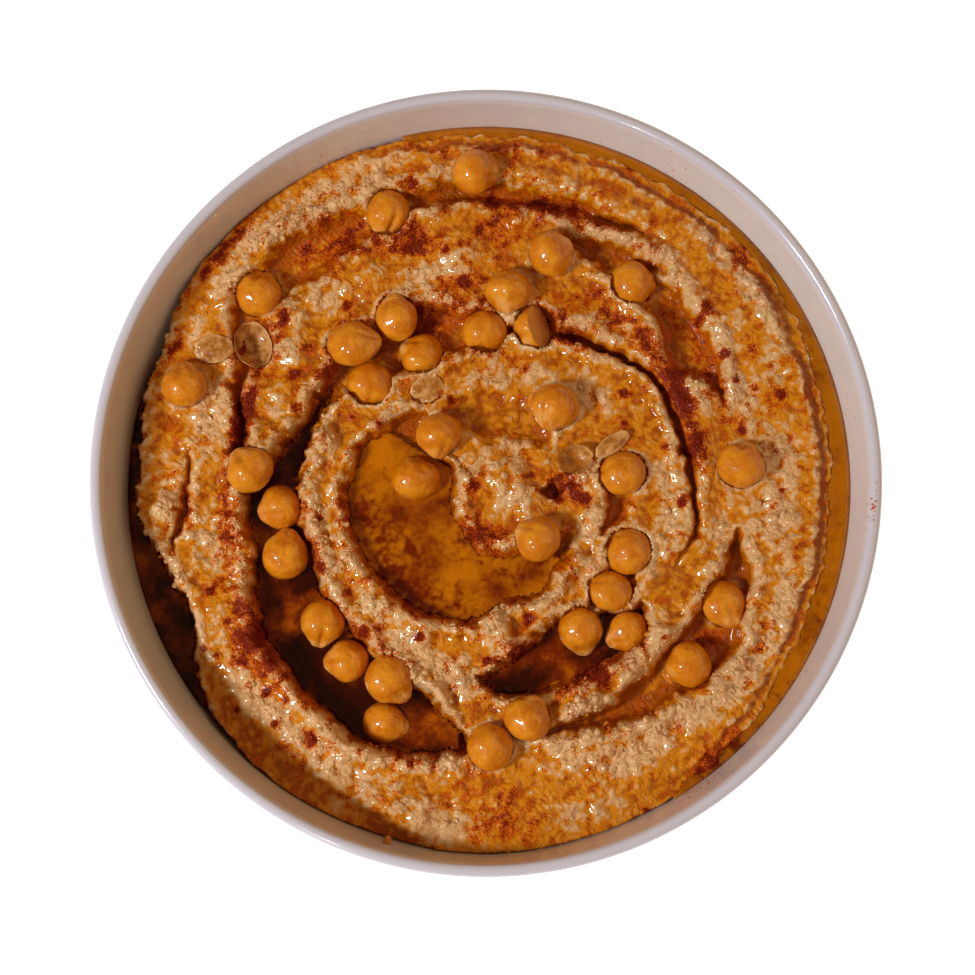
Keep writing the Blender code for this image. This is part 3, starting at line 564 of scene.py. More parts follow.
# Each edge is an angle, then the inner and the outer radius of the stroke there. The film is how much oil
# lies in it.
STROKES = [
    Stroke("crescent", 25.5, 3.2, 2.0, 1.0, [
        (136, 46, 48), (150, 44.5, 50), (165, 44.5, 52), (180, 46, 62), (196, 46, 63), (206, 46.5, 66.5),
        (214, 47, 69), (225, 48, 70.5), (234, 49.5, 72), (243, 51, 73), (254, 54, 71.5), (262, 59, 69.5),
        (268, 64.5, 67),
    ]),
    Stroke("nest", 29.5, 3.5, 1.5, 0.9, [
        (84, 38, 41), (100, 34, 46), (113, 33.5, 51), (126, 34, 51), (140, 38, 50), (152, 44, 49),
    ]),
    Stroke("crack", 28.5, 2.2, 1.2, 0.9, [
        (-22, 51.5, 52.5), (-12, 52.2, 54.6), (0, 51, 53.8), (12, 49.2, 52.2), (22, 49, 51.9), (34, 48, 51),
        (44, 45.5, 49), (52, 42.5, 46.5), (66, 40, 44.5), (84, 38.5, 42),
    ]),
    Stroke("lower_right", 29.0, 3.2, 1.6, 0.4, [
        (276, 62, 64), (288, 62.5, 66.5), (298, 62, 69.5), (307, 61, 72), (318, 60, 75.5), (330, 60.5, 75),
        (342, 61.5, 71), (350, 63.5, 65.5),
    ]),
    Stroke("upper_right", 31.0, 3.0, 1.4, 0.24, [
        (17, 63, 64), (23, 60.5, 65), (30, 56, 67.5), (38, 55.5, 69), (48, 59, 70), (58, 59.5, 70.5),
        (67, 61.5, 68.5), (76, 64, 66),
    ]),
    Stroke("top_band", 30.5, 4.0, 1.2, 0.22, [
        (54, 75, 76.5), (68, 71, 77.5), (82, 69, 77.5), (96, 70, 78.5), (110, 68.5, 78.5), (122, 67, 79.5),
        (134, 66.5, 81.5), (144, 68.5, 79.5), (153, 69, 72),
    ]),
    Stroke("left_tail", 30.0, 2.4, 1.0, 0.9, [
        (148, 67, 71), (156, 65.5, 71), (164, 62.5, 66.5), (172, 60.5, 64.5), (182, 59, 62),
    ]),
    Stroke("left_slit", 31.0, 2.2, 0.8, 0.9, [
        (173, 74, 75.5), (180, 74.5, 77), (187, 76.5, 80), (193, 80.5, 82),
    ]),
    Stroke("centre", 30.0, 3.2, 1.8, 1.0, [
        (128, 23, 25), (140, 17, 28.5), (152, 9, 31), (168, 7, 35), (184, 7, 37.5), (202, 8, 37.5),
        (220, 9, 37.5), (238, 10, 38), (254, 12, 36.5), (266, 15, 35.5), (278, 16, 31), (292, 17, 31.5),
        (306, 18, 30), (318, 20, 28.5), (330, 23, 25),
    ]),
    Stroke("upper_centre", 33.4, 4.0, 0.6, 0.2, [
        (30, 17, 20), (50, 13, 24), (75, 11, 25.5), (100, 12, 25), (120, 17, 23.5), (132, 21, 23),
    ]),
    Stroke("right_centre", 32.0, 2.6, 0.8, 0.7, [
        (336, 31, 33), (347, 30, 36), (357, 29.5, 36.5), (7, 31, 36),
    ]),
    Stroke("slot", 30.0, 2.0, 1.0, 1.0, [(348, 15, 18), (357, 12.5, 19.5), (366, 14, 17.5)]),
    Stroke("lower", 28.0, 2.8, 1.6, 1.0, [
        (267, 47.5, 51), (277, 43.5, 55), (288, 39, 54.5), (300, 38, 54), (312, 42, 55.5), (323, 48, 52),
    ]),
    Stroke("lower_nest", 31.0, 3.0, 0.8, 0.7, [
        (308, 38, 42), (318, 36.5, 46), (330, 35.5, 46), (343, 36.5, 42),
    ]),
    Stroke("trough_right", 30.5, 3.0, 0.8, 0.2, [
        (-66, 91.5, 110), (-45, 88.5, 110), (-28, 86.5, 110), (-10, 85.5, 110), (8, 86, 110), (30, 87, 110),
        (60, 87, 110), (85, 87, 110), (104, 88.5, 110), (118, 91, 110),
    ]),
    Stroke("terrace_right", 33.8, 1.6, 0.3, 0.5, [
        (-62, 88, 110), (-45, 85.5, 110), (-28, 84, 110), (0, 83.2, 110), (30, 83.5, 110), (60, 84, 110),
        (85, 84.5, 110), (104, 86, 110), (116, 89, 110),
    ]),
    Stroke("left_shelf", 33.0, 9.0, 0.0, 0.5, [
        (203, 80, 110), (215, 78.5, 110), (235, 80, 110), (250, 84, 110), (262, 89, 110),
    ]),
    Stroke("trough_left", 24.5, 2.6, 1.2, 1.0, [
        (136, 91, 110), (150, 89.5, 110), (165, 88, 110), (178, 87, 110), (187, 86.3, 110), (194, 83, 110),
        (201, 79.8, 110), (206, 81.5, 110), (211, 84.5, 110), (216, 87.5, 110), (222, 90, 110),
        (232, 91.5, 110), (244, 93, 110),
    ]),
]

LUMPS = [Lump(*row) for row in (
    (110, 4.0, 6.5, 3.0), (20, 5.5, 5.0, 3.2), (335, 9.0, 3.6, 2.6), (30, 18.0, 4.2, 1.8),
    (8, 24.0, 4.0, 2.0), (345, 29.0, 3.2, 2.6), (334, 31.5, 3.0, 2.6), (322, 30.5, 3.0, 2.2),
    (308, 31.5, 3.0, 2.2), (295, 34.0, 3.2, 2.4), (268, 31.0, 2.6, 4.0), (273, 36.5, 3.6, 3.6),
    (277, 42.0, 4.0, 4.0), (277, 47.5, 3.2, 4.6), (293, 60.0, 4.6, 5.0), (262, 50.0, 8.0, 1.6),
    (204, 41.5, 4.0, 1.6), (228, 42.0, 4.5, 2.0), (246, 41.0, 5.0, 2.0), (165, 41.0, 3.2, 2.2),
    (170, 56.5, 5.0, 3.2), (157, 58.0, 5.0, 2.0), (146, 61.0, 4.5, 2.6), (139, 64.0, 3.6, 2.4),
    (118, 59.0, 5.0, 2.0), (104, 72.5, 3.6, 4.2), (96, 58.0, 6.0, 2.6), (60, 49.0, 5.0, 1.8),
    (42, 56.0, 4.0, 2.2), (20, 57.5, 4.0, 2.0), (320, 57.0, 3.6, 3.0), (306, 60.0, 3.4, 2.6),
    (290, 72.0, 7.0, 2.4), (256, 84.0, 6.0, 2.8), (238, 76.0, 6.0, 2.0), (218, 66.0, 5.0, 2.6),
    (205, 72.0, 5.0, 2.0), (184, 81.5, 3.6, 2.4), (175, 69.0, 4.0, 2.0), (32, 80.0, 7.0, 1.6),
    (350, 78.0, 7.0, 1.4), (130, 84.0, 6.0, 1.6),
)]
print("strokes:", len(STROKES), "lumps:", len(LUMPS))

# %% Height of the spooned hummus


def smoothstep(value):
    value = np.clip(value, 0.0, 1.0)
    return value * value * (3 - 2 * value)


def noise_at(x, y, length, seed):
    """Smooth noise from -1 to 1, whose bumps are about this long."""
    points = zip((x / length).ravel(), (y / length).ravel())
    return np.array([noise.noise((a, b, seed)) for a, b in points]).reshape(x.shape)


def layered_noise(x, y, layers, seed):
    return sum(size * noise_at(x, y, length, seed) for size, length in layers)


def curve_through(knots, values, at):
    """A smooth curve through the values at the knots, read at other places."""
    slopes = np.gradient(values, knots)
    index = np.clip(np.searchsorted(knots, at) - 1, 0, len(knots) - 2)
    span = knots[index + 1] - knots[index]
    t = np.clip((at - knots[index]) / span, 0, 1)
    start, end = values[index], values[index + 1]
    rise_out, rise_in = slopes[index] * span, slopes[index + 1] * span
    return (
        (2 * t**3 - 3 * t**2 + 1) * start + (t**3 - 2 * t**2 + t) * rise_out
        + (3 * t**2 - 2 * t**3) * end + (t**3 - t**2) * rise_in
    )


def stroke_reach(stroke, angle, radius):
    """How far inside the stroke each point lies, and how near the stroke's ends it is, from 0 to 1."""
    knots = np.array(stroke.edges, float)
    turn = (angle - knots[0, 0]) % 360
    along = np.unwrap(knots[:, 0], period=360) - knots[0, 0]
    inner = curve_through(along, knots[:, 1], turn)
    outer = curve_through(along, knots[:, 2], turn)
    inside = np.minimum(radius - inner, outer - radius)
    inside = np.where(turn <= along[-1], inside, -radius.max())
    ends = smoothstep(np.minimum(turn, along[-1] - turn) / LIP_ENDS)
    return inside, ends


def hummus_height(x, y, ruffle=RUFFLE):
    """Height of the hummus, how deep in a stroke each point is from 0 to 1, and how much oil lies there."""
    drift_x, drift_y = (layered_noise(x, y, ruffle, seed) for seed in DRIFT_SEEDS)
    angle, radius = as_seen(x + drift_x, y + drift_y)
    height = PLATEAU + layered_noise(x, y, ROLL, ROLL_SEED)
    height -= EDGE_FALL * np.maximum(radius - EDGE_START, 0)
    off_heap = (angle - HEAP_ANGLE + 180) % 360 - 180
    heap = HEAP_RISE * np.exp(-((off_heap / HEAP_SPREAD) ** 2))
    height += heap * smoothstep((radius - HEAP_START) / HEAP_RUN)
    reaches = [(stroke, *stroke_reach(stroke, angle, radius)) for stroke in STROKES]
    for stroke, inside, ends in reaches:
        height += stroke.lip * ends * np.exp(-(((inside + LIP_OUT) / LIP_WIDTH) ** 2))
    for lump in LUMPS:
        turn = np.radians(angle - lump.angle)
        apart = radius**2 + lump.radius**2 - 2 * radius * lump.radius * np.cos(turn)
        height += lump.rise * np.exp(-apart / lump.spread**2)
    hollow, film = np.zeros_like(height), np.zeros_like(height)
    for stroke, inside, _ in reaches:
        depth = smoothstep(inside / stroke.slope)
        height += depth * np.minimum(stroke.floor - height, 0)
        hollow = np.maximum(hollow, depth)
        film = np.maximum(film, stroke.film * smoothstep((inside + FILM_MARGIN) / FILM_RISE))
    return height, hollow, film


print("height in the middle:", round(float(hummus_height(np.zeros(1), np.zeros(1))[0][0]), 1))

# %% [markdown]
# ## Where the oil and the paprika went
#
# Red oil was poured over the whole bowl, so the paste is amber nearly everywhere. It stays beige where a
# ridge stood clear of the oil. Dark red is where wet paprika gathered, and one dark patch among the
# chickpeas of the nest is painted shade as well as paprika. Both are listed as soft oval patches that lie
# along the circles of the swirl: angle, radius, half length, half width and amount. Flecks are small round
# ones: angle, radius and size. Painting a mask by hand would do the same, but a list stays readable and can
# be changed patch by patch.

# %% Patches
BARE = (
    (167, 72, 10, 4, 1.0), (183, 80.5, 12, 2.4, 0.9), (192, 70, 9, 5, 0.9), (221, 80, 9, 3.5, 1.0),
    (238, 80, 12, 5, 0.9), (246, 88, 6, 3, 0.8), (260, 72, 7, 3.5, 0.9), (262, 86, 8, 5, 1.0),
    (228, 42.5, 6, 2.6, 1.0), (245, 45, 8, 4.5, 1.2), (260, 49, 6, 5, 1.2), (270, 38, 4, 3, 1.0),
    (167, 40, 5, 2.4, 0.9), (193, 42.3, 9, 2.4, 1.1), (211, 42, 8, 2.2, 0.9), (146, 60, 4, 3, 0.8),
    (131, 61, 8, 3.5, 0.8), (104, 55, 10, 4, 0.9), (101, 72, 3, 2.5, 1.0), (110, 84, 10, 3.5, 0.9),
    (122, 84, 10, 4, 0.9), (134, 86, 9, 3, 0.9), (143, 84, 8, 2.5, 0.8), (152, 83, 6, 2, 0.6),
    (72, 70.5, 6, 2, 0.8), (55, 73, 8, 4, 0.7), (46, 70, 6, 3, 0.8), (46, 83, 7, 3, 0.8),
    (36, 82, 7, 3.5, 0.8), (28, 84, 7, 2.4, 0.8), (32, 72, 6, 4, 0.8), (20, 68, 7, 4, 1.0),
    (22, 78, 6, 3, 0.8), (6, 75, 6, 5, 0.9), (-6, 73, 9, 6, 1.1), (-20, 79, 9, 3.5, 1.0),
    (-32, 80.5, 10, 3, 0.9), (-41, 80, 9, 3, 1.0), (-52, 77, 9, 2.8, 1.0), (-66, 59.5, 4, 4, 1.1),
    (-74, 70, 8, 5, 0.9), (-64, 76, 8, 5, 0.9), (-74, 86, 9, 3, 0.7), (2, 45, 7, 2.8, 1.0),
    (-14, 47.5, 7, 2.8, 1.1), (-10, 60, 9, 2.4, 0.8), (-47, 57.5, 7, 2.4, 1.0), (42, 35.5, 7, 3.5, 1.0),
    (88, 28, 9, 2.2, 0.8), (68, 31, 6, 2.4, 0.8), (24, 58.5, 6, 2.6, 0.8), (52, 51.5, 6, 3, 0.6),
    (50, 12, 4, 4, 0.9), (330, 7, 5, 4, 1.0), (110, 4, 4, 4, 0.9), (10, 24, 4, 4, 0.8),
    (-21, 27, 5, 2.8, 1.0), (-66, 41, 4, 2, 0.7), (142, 31, 5, 2, 0.6), (160, 57, 5, 3.5, 0.7),
    (277, 44, 3, 4, 1.1), (275, 33, 2.5, 4, 1.0), (-42, 33, 6, 2.4, 0.9), (300, 33, 5, 2, 0.7),
    (182, 55.5, 4, 2, 0.5), (228, 78, 14, 5, 0.5), (250, 80, 12, 6, 0.5), (212, 76, 8, 5, 0.4),
    (300, 78, 12, 4, 0.4), (10, 70, 8, 5, 0.4),
)
SPICE_AND_SHADE_PATCHES = (
    (120, 71, 12, 6, 0.60), (80, 72, 16, 4, 0.75), (88, 62, 8, 4, 0.50), (148, 69, 8, 5, 0.60),
    # The patch at angle 113, radius 44 lies among the chickpeas of the nest. It is partly wet paprika and
    # partly painted shade: it is darkened to stand in for the shade between those chickpeas.
    (166, 63.5, 15, 2.6, 0.95), (108, 64, 8, 5, 0.60), (113, 44, 8, 6, 0.70), (97, 47, 8, 5, 0.50),
    (50, 53, 9, 4, 0.50), (30, 54, 12, 4, 0.60), (12, 53, 12, 2.5, 0.60), (68, 45, 10, 3, 0.55),
    (36, 64, 10, 3, 0.35), (22, 62.5, 8, 2.4, 0.50), (82, 33, 6, 3, 0.30), (193, 30, 9, 6, 0.65),
    (229, 32, 12, 5, 0.80), (215, 22, 8, 6, 0.45), (255, 13, 7, 4, 0.90), (256, 32, 8, 3, 0.55),
    (300, 22, 8, 5, 0.60), (270, 23, 6, 5, 0.45), (285, 43, 8, 3, 0.95), (297, 54, 8, 3, 0.85),
    (306, 47, 9, 6, 0.45), (272, 84, 8, 7, 0.45), (207, 68, 10, 4, 0.65), (220, 71, 9, 4, 0.60),
    (-36, 66, 8, 4, 0.35), (-50, 90.5, 30, 2.2, 0.45), (-15, 89, 20, 1.8, 0.25), (88, 84, 25, 2.4, 0.35),
    (55, 87, 20, 2, 0.20), (138, 89, 12, 1.6, 0.70), (156, 86, 8, 1.6, 0.50), (185, 66, 12, 2, 0.45),
    (3, 19, 4, 3, 0.70), (356, 23, 4, 2.5, 0.60), (353, 33, 4, 4, 0.35), (250, 67, 8, 4, 0.60),
    (200, 47, 9, 1.6, 0.60), (230, 48.5, 10, 1.6, 0.60), (146, 50, 9, 3, 0.45), (183, 75.5, 8, 1.4, 0.60),
    (312, 88, 6, 3, 0.40),
)
FLECKS = (
    (9, 77.4, 1.1), (12, 11.3, 1.4), (12, 46, 1.2), (12, 65.6, 1.5), (17, 77.2, 1.3), (20, 71.3, 1.3),
    (23, 53.4, 2), (23, 67.8, 1.3), (24, 38, 1.2), (27, 75, 1.4), (29, 68.2, 1.6), (30, 57.1, 1.6),
    (34, 41.2, 1.6), (38, 68.3, 1.6), (39, 70.7, 1.8), (41, 85.5, 2.6), (61, 42.5, 2.2), (113, 23.3, 1.4),
    (150, 31.4, 1.4), (163, 33.6, 1.2), (191, 43.1, 1.2), (192, 3.1, 1.4), (201, 74.1, 1.4),
    (206, 46.6, 1.4), (208, 73.6, 1.6), (210, 82.3, 1), (212, 73, 2.2), (212, 80.8, 1), (213, 69.3, 2.4),
    (216, 75.9, 1.8), (218, 43.8, 1.2), (220, 25.1, 1.6), (222, 84.5, 1), (223, 76.5, 1.4),
    (227, 73.9, 1.4), (228, 79.9, 1), (229, 32.7, 1.2), (233, 45, 1.6), (235, 77.7, 2), (246, 41.7, 1.2),
    (255, 73.2, 1.6), (270, 44.4, 1.2), (283, 29.6, 1.5), (287, 35.2, 1.8), (301, 56.8, 2), (348, 18, 1.6),
    (352, 25.2, 1.4), (353, 24.6, 1.8), (355, 49.2, 1.4), (359, 74, 1), (104, 78, 1.6), (127, 76, 1.6),
    (122, 78, 1.4), (100, 60, 1.8), (96, 52, 1.6), (128, 57, 1.8), (118, 52, 1.8), (140, 66, 1.6),
    (158, 52, 1.4), (150, 56, 1.4), (86, 41, 1.4), (50, 62, 1.4),
)
print("patches:", len(BARE), "bare,", len(SPICE_AND_SHADE_PATCHES) + len(FLECKS), "spiced")

# %% [markdown]
# ## Grain of the paste
#
# Hummus is mashed chickpeas, so it is lumpy at every size: rounded lumps of two to four millimetres where
# the spoon tore it, and an almost smooth skin where the spoon pressed. The lumps come from a cell pattern:
# each point rises towards the nearest of many scattered centres.

# %% Grain
FINE_RUFFLE = RUFFLE + ((0.8, 2.2),)
CLODS = ((1.3, 4.0, 1.7), (1.15, 2.1, 6.1))  # height, size and seed of each layer of lumps
CRUMBLE = ((1.0, 5.2, 2.2), (0.3, 1.6, 9.4))


def clods(x, y, length, seed):
    """Rounded lumps from 0 to 1, packed side by side."""
    def one(a, b):
        near, _ = noise.voronoi((a, b, seed))
        return 1 - min(near[0] * 1.2, 1.0) ** 2
    return np.array([one(a, b) for a, b in zip((x / length).ravel(), (y / length).ravel())]).reshape(x.shape)


def grain(x, y, rough):
    """Relief of the paste, stronger where the spoon tore it."""
    lumps = sum(size * (clods(x, y, length, seed) - 0.6) for size, length, seed in CLODS)
    waves = sum(size * noise_at(x, y, length, seed) for size, length, seed in CRUMBLE)
    return rough * (lumps + waves)


print("layers of lumps:", len(CLODS))

# %% [markdown]
# ## Chickpeas: where they are
#
# The seats of the chickpeas are needed before the hummus is made, because each one presses its own hollow
# in the paste. The table gives each chickpea's place in the view, its length and width, the way that its
# beak points, and how far its middle stands over the paste. One of them is a half that shows its cut face.

# %% Chickpea table
Pea = namedtuple("Pea", "across up length width heading lift")
PEAS = [Pea(*row) for row in (
    (-3.1, 78.7, 12.6, 11.6, -5, 1.8), (-24.8, 68.4, 13.8, 11.4, 262, 2.2),
    (16.1, 58.3, 12.0, 12.0, 20, 2.8), (36.4, 50.8, 12.4, 11.6, 5, 2.6), (-57.4, 48.2, 13.2, 11.8, 75, 1.8),
    (5.3, 48.8, 12.0, 12.0, 262, 2.0), (-22.8, 42.1, 13.0, 10.8, 100, 5.4),
    (-0.5, 38.4, 13.0, 11.4, 275, 1.8), (12.4, 39.7, 12.4, 11.6, 250, 2.2),
    (-33.8, 35.6, 14.8, 11.6, 4, 5.0), (-16.4, 32.8, 12.2, 11.4, 150, 1.0),
    (-29.4, 25.4, 12.6, 11.8, 258, 1.8), (-76.2, 25.2, 12.2, 11.6, 95, 2.4),
    (17.0, 19.8, 13.0, 12.4, 245, 1.8), (-12.2, 12.8, 12.2, 11.2, 270, 2.2),
    (-17.8, 1.6, 12.0, 12.2, 100, 3.0), (-59.6, 3.9, 12.4, 12.2, 130, 0.6),
    (-51.9, -5.6, 11.8, 11.4, 200, 5.2), (34.0, 3.0, 13.6, 11.4, 192, 1.8),
    (63.7, 5.1, 12.4, 12.6, 65, 1.4), (-50.7, -17.6, 13.8, 11.8, 80, 5.4),
    (12.9, -13.5, 12.2, 11.8, 150, 2.4), (35.5, -16.6, 13.0, 12.0, 135, 2.6),
    (30.9, -26.6, 12.8, 10.2, 165, 2.6), (59.4, -29.8, 13.2, 11.2, 295, 2.2),
    (-41.3, -34.4, 12.8, 11.2, 262, 5.6), (23.5, -36.4, 13.0, 11.2, 280, 3.8),
    (35.3, -36.7, 12.0, 10.2, 210, 2.0), (-35.1, -44.1, 12.2, 10.8, 185, 4.2),
    (-24.6, -48.8, 13.8, 12.2, 312, 7.2), (50.8, -45.1, 12.4, 11.8, 200, 3.2),
    (-25.8, -59.8, 13.4, 10.8, 345, 1.6), (10.2, -58.6, 12.2, 12.0, 60, 2.2),
    (0.8, -65.9, 12.4, 12.0, 30, 2.0),
)]
HALF_PEA = 9
HALF_FACE = Vector((0.84, 0.14, 0.52))
PEA_FLATNESS = 0.95


def spot_over_hummus(piece, passes):
    """Middle of a piece that stands `lift` over the hummus. Each pass starts from the height of the last."""
    spot = place(piece.across, piece.up, FOOD_LEVEL)
    for _ in range(passes):
        level = float(hummus_height(np.array([spot.x]), np.array([spot.y]))[0][0]) + piece.lift
        spot = place(piece.across, piece.up, level)
    return spot


pea_spots = [spot_over_hummus(pea, 3) for pea in PEAS]
print("highest chickpea centre:", round(max(spot.z for spot in pea_spots), 1), "mm")

# %% [markdown]
# ## Loose skins: where they are
#
# Chickpeas shed their skins in the pot, and five of these lie loose on the food. They press seats too. The
# table gives each skin's place, its two half sizes, its heading and tilt, how far it stands over the paste,
# and whether it is a cup or a flat flake.

# %% Loose skin table
Skin = namedtuple("Skin", "name across up long short heading tilt lift cup")
SKINS = [
    Skin("skin_cup_left", -58.7, 35.5, 6.2, 4.9, 105, 18, 2.6, True),
    Skin("skin_flat_left", -68.8, 34.4, 5.2, 3.6, 10, 6, 1.1, False),
    Skin("skin_cup_right", 22.2, 6.6, 4.7, 3.6, 10, 8, 2.2, True),
    Skin("skin_strip_right", 31.6, 10.4, 5.0, 2.2, 35, 8, 2.2, False),
    Skin("skin_flat_top", -15.0, 24.3, 4.4, 3.4, 20, 10, 0.9, False),
]
CUP_DEPTH = 4.0
SKIN_THICKNESS = 0.35
FLAKE_DROOP = 0.96
skin_spots = [spot_over_hummus(skin, 1) for skin in SKINS]
print("loose skins:", len(skin_spots))

# %% [markdown]
# ## The hummus
#
# The top is a square grid bent into a disc, which keeps its cells nearly equal in size and has no pole in
# the middle. Its border follows the bowl's wall. Rings below it close the body down to the bowl's floor.

# %% The hummus's top
HUMMUS_CELLS = 300
SIDE_HEIGHTS = (20.0, 12.0, 8.0, 6.8)
SEAT_GAP = 0.35
PUSHED_UP = 0.5
PUSHED_UP_AT = 0.98  # shares of the chickpea's reach
PRESSED_TO = 0.97
PUSHED_UP_WIDTH = 1.3
SINKING = 3
SEAT_LENGTHS = 2.1  # a chickpea's length over the half length of its seat
PEA_CLEARANCE = 0.1
SKIN_CLEARANCE = 0.2
SKIN_SEAT = 1.05
NOMINAL_GAP = 0.3
BORDER_START = 0.9
BORDER_WIDTH = 0.1
CREST_HEIGHT = 1.5


def disc_grid(cells):
    """A square grid of cells bent into a disc of radius 1, as two arrays of x and y."""
    line = np.linspace(-1, 1, cells + 1)
    a, b = np.meshgrid(line, line, indexing="ij")
    wide = np.abs(a) > np.abs(b)
    reach = np.where(wide, a, b)
    safe = np.where(reach == 0, 1, reach)
    turn = np.where(wide, b / safe * math.pi / 4, math.pi / 2 - a / safe * math.pi / 4)
    return reach * np.cos(turn), reach * np.sin(turn)


def grid_border(cells):
    """Grid indices round the border, counter-clockwise, from the lower right corner."""
    right = [(cells, j) for j in range(cells)]
    top = [(i, cells) for i in range(cells, 0, -1)]
    left = [(0, j) for j in range(cells, 0, -1)]
    bottom = [(i, 0) for i in range(cells)]
    return right + top + left + bottom


def along_and_across(x, y, spot, heading):
    """How far points lie from a spot, along a heading and across it."""
    turn = math.radians(heading)
    along = (x - spot.x) * math.cos(turn) + (y - spot.y) * math.sin(turn)
    return along, (y - spot.y) * math.cos(turn) - (x - spot.x) * math.sin(turn)


def press_seats(x, y, z):
    """Presses the paste down under each chickpea and skin, and up a little round each chickpea."""
    for pea, spot in zip(PEAS, pea_spots):
        reach = (pea.length + pea.width) / 4
        along, across = along_and_across(x, y, spot, pea.heading)
        apart = np.hypot(along * reach / (pea.length / SEAT_LENGTHS), across * reach / (pea.width / 2))
        dome = spot.z - reach * PEA_FLATNESS * np.sqrt(np.clip(1 - (apart / reach) ** 2, 0, 1))
        touching = smoothstep((z - (spot.z - reach)) / SINKING)
        z = z + PUSHED_UP * touching * np.exp(-(((apart - reach * PUSHED_UP_AT) / PUSHED_UP_WIDTH) ** 2))
        z = np.where(apart < reach * PRESSED_TO, np.minimum(z, dome - PEA_CLEARANCE), z)
    for skin, spot in zip(SKINS, skin_spots):
        along, across = along_and_across(x, y, spot, skin.heading)
        apart = np.hypot(along / skin.long, across / skin.short)
        deep = CUP_DEPTH * np.sqrt(np.clip(1 - apart**2, 0, 1)) if skin.cup else FLAKE_DROOP * apart**2
        tilted = across * math.sin(math.radians(skin.tilt))
        under = spot.z + tilted - deep - SKIN_THICKNESS - SKIN_CLEARANCE
        z = np.where(apart < SKIN_SEAT, np.minimum(z, under), z)
    return z


def blur(values, steps):
    """The mean over a square of cells about each point, by running sums."""
    for axis in (0, 1):
        before = np.repeat(values.take([0], axis), steps + 1, axis)
        after = np.repeat(values.take([-1], axis), steps, axis)
        padded = np.concatenate([before, values, after], axis)
        total = np.cumsum(padded, axis)
        width, size = 2 * steps + 1, values.shape[axis]
        values = (total.take(range(width, width + size), axis) - total.take(range(size), axis)) / width
    return values


unit_x, unit_y = disc_grid(HUMMUS_CELLS)
nominal = wall_radius(FOOD_LEVEL) - NOMINAL_GAP
edge = hummus_height(unit_x * nominal, unit_y * nominal)[0]
share = smoothstep((np.hypot(unit_x, unit_y) - BORDER_START) / BORDER_WIDTH)
stretch = nominal + share * (np.vectorize(wall_radius)(edge) - SEAT_GAP - nominal)
top_x, top_y = unit_x * stretch, unit_y * stretch
spooned, hollow, film = hummus_height(top_x, top_y, FINE_RUFFLE)
bare = patched(BARE, top_x, top_y)
crest = np.clip((spooned - blur(spooned, 9)) / CREST_HEIGHT, 0, 1)
rough = np.clip(0.42 + 0.5 * bare + 0.35 * crest, 0, 1.15) * (1 - 0.7 * hollow)
relief = grain(top_x, top_y, rough)
relief = (0.45 * relief + 0.55 * blur(relief, 1)) * (1 - share * 0.8)
top_z = press_seats(top_x, top_y, spooned + relief)
print("top points:", top_z.size, "from", round(top_z.min(), 1), "to", round(top_z.max(), 1), "mm")

# %% [markdown]
# ## Numbers that the finish reads
#
# Each point of the top keeps three numbers, so that the finish follows the form. Soak is how far oil has
# stained the paste: more in dips, less on bare ridges. Spice is wet paprika, and in the one patch among the
# chickpeas of the nest it is also painted shade. Crumble says where loose lumps lie. Noise is added here
# rather than in the material, because it is worked out once for the mesh and not again for every ray of
# light.

# %% Soak, spice and crumble
FLECK_AMOUNT = 0.95
dip = np.clip(blur(top_z, 6) - top_z, -1.5, 2.0)
crevice = np.clip(blur(top_z, 2) - top_z, -0.5, 0.6)
coarse = noise_at(top_x, top_y, 6.5, 12.2)
middling = noise_at(top_x, top_y, 3.0, 15.8)
small = noise_at(top_x, top_y, 1.5, 21.4)
flecks = patched([(turn, out, size, size, FLECK_AMOUNT) for turn, out, size in FLECKS], top_x, top_y)
soak = 0.80 + 0.3 * film - 0.88 * bare + 0.2 * dip + 0.8 * crevice
soak = soak + 0.2 * coarse + 0.4 * middling + 0.35 * small
# Spice: wet paprika, plus the painted shade of the patch among the nest's chickpeas.
spice = 0.2 + 1.12 * patched(SPICE_AND_SHADE_PATCHES, top_x, top_y) + flecks
spice = spice + 0.35 * coarse + 0.5 * middling + 0.4 * small
crumble = np.clip(rough - 0.55, 0, 1) * (1 - 0.8 * hollow)
print("mean soak:", round(float(soak.mean()), 2), "mean spice:", round(float(spice.mean()), 2))

# %% Building the hummus
UNDER_TOP = 0.3


def hummus_mesh():
    cells = HUMMUS_CELLS
    points = np.stack([top_x, top_y, top_z], -1).reshape(-1, 3)
    index = np.arange((cells + 1) ** 2).reshape(cells + 1, cells + 1)
    corners = [index[:-1, :-1], index[1:, :-1], index[1:, 1:], index[:-1, 1:]]
    faces = np.stack(corners, -1).reshape(-1, 4).tolist()
    border = [int(index[i, j]) for i, j in grid_border(cells)]
    turns = np.arctan2(points[border, 1], points[border, 0])
    rings, verts = [border], [points]
    start = len(points)
    for height in SIDE_HEIGHTS:
        radius = wall_radius(height) - SEAT_GAP
        ring = [radius * np.cos(turns), radius * np.sin(turns), np.full_like(turns, height)]
        verts.append(np.stack(ring, -1))
        rings.append(list(range(start, start + len(border))))
        start += len(border)
    for upper, lower in zip(rings, rings[1:]):
        for k in range(len(border)):
            after = (k + 1) % len(border)
            faces.append([upper[k], lower[k], lower[after], upper[after]])
    verts.append(np.array([[0, 0, SIDE_HEIGHTS[-1]]]))
    for k in range(len(border)):
        faces.append([rings[-1][k], start, rings[-1][(k + 1) % len(border)]])
    mesh = bpy.data.meshes.new("hummus")
    mesh.from_pydata((np.concatenate(verts) * MM).tolist(), [], faces)
    return mesh


hummus = add_object("hummus_swirl", hummus_mesh())
keep_numbers(hummus.data, UNDER_TOP, soak=soak, spice=spice, crumble=crumble)
face_outwards(hummus)
hummus.data.shade_smooth()
print("hummus:", len(hummus.data.polygons), "faces")

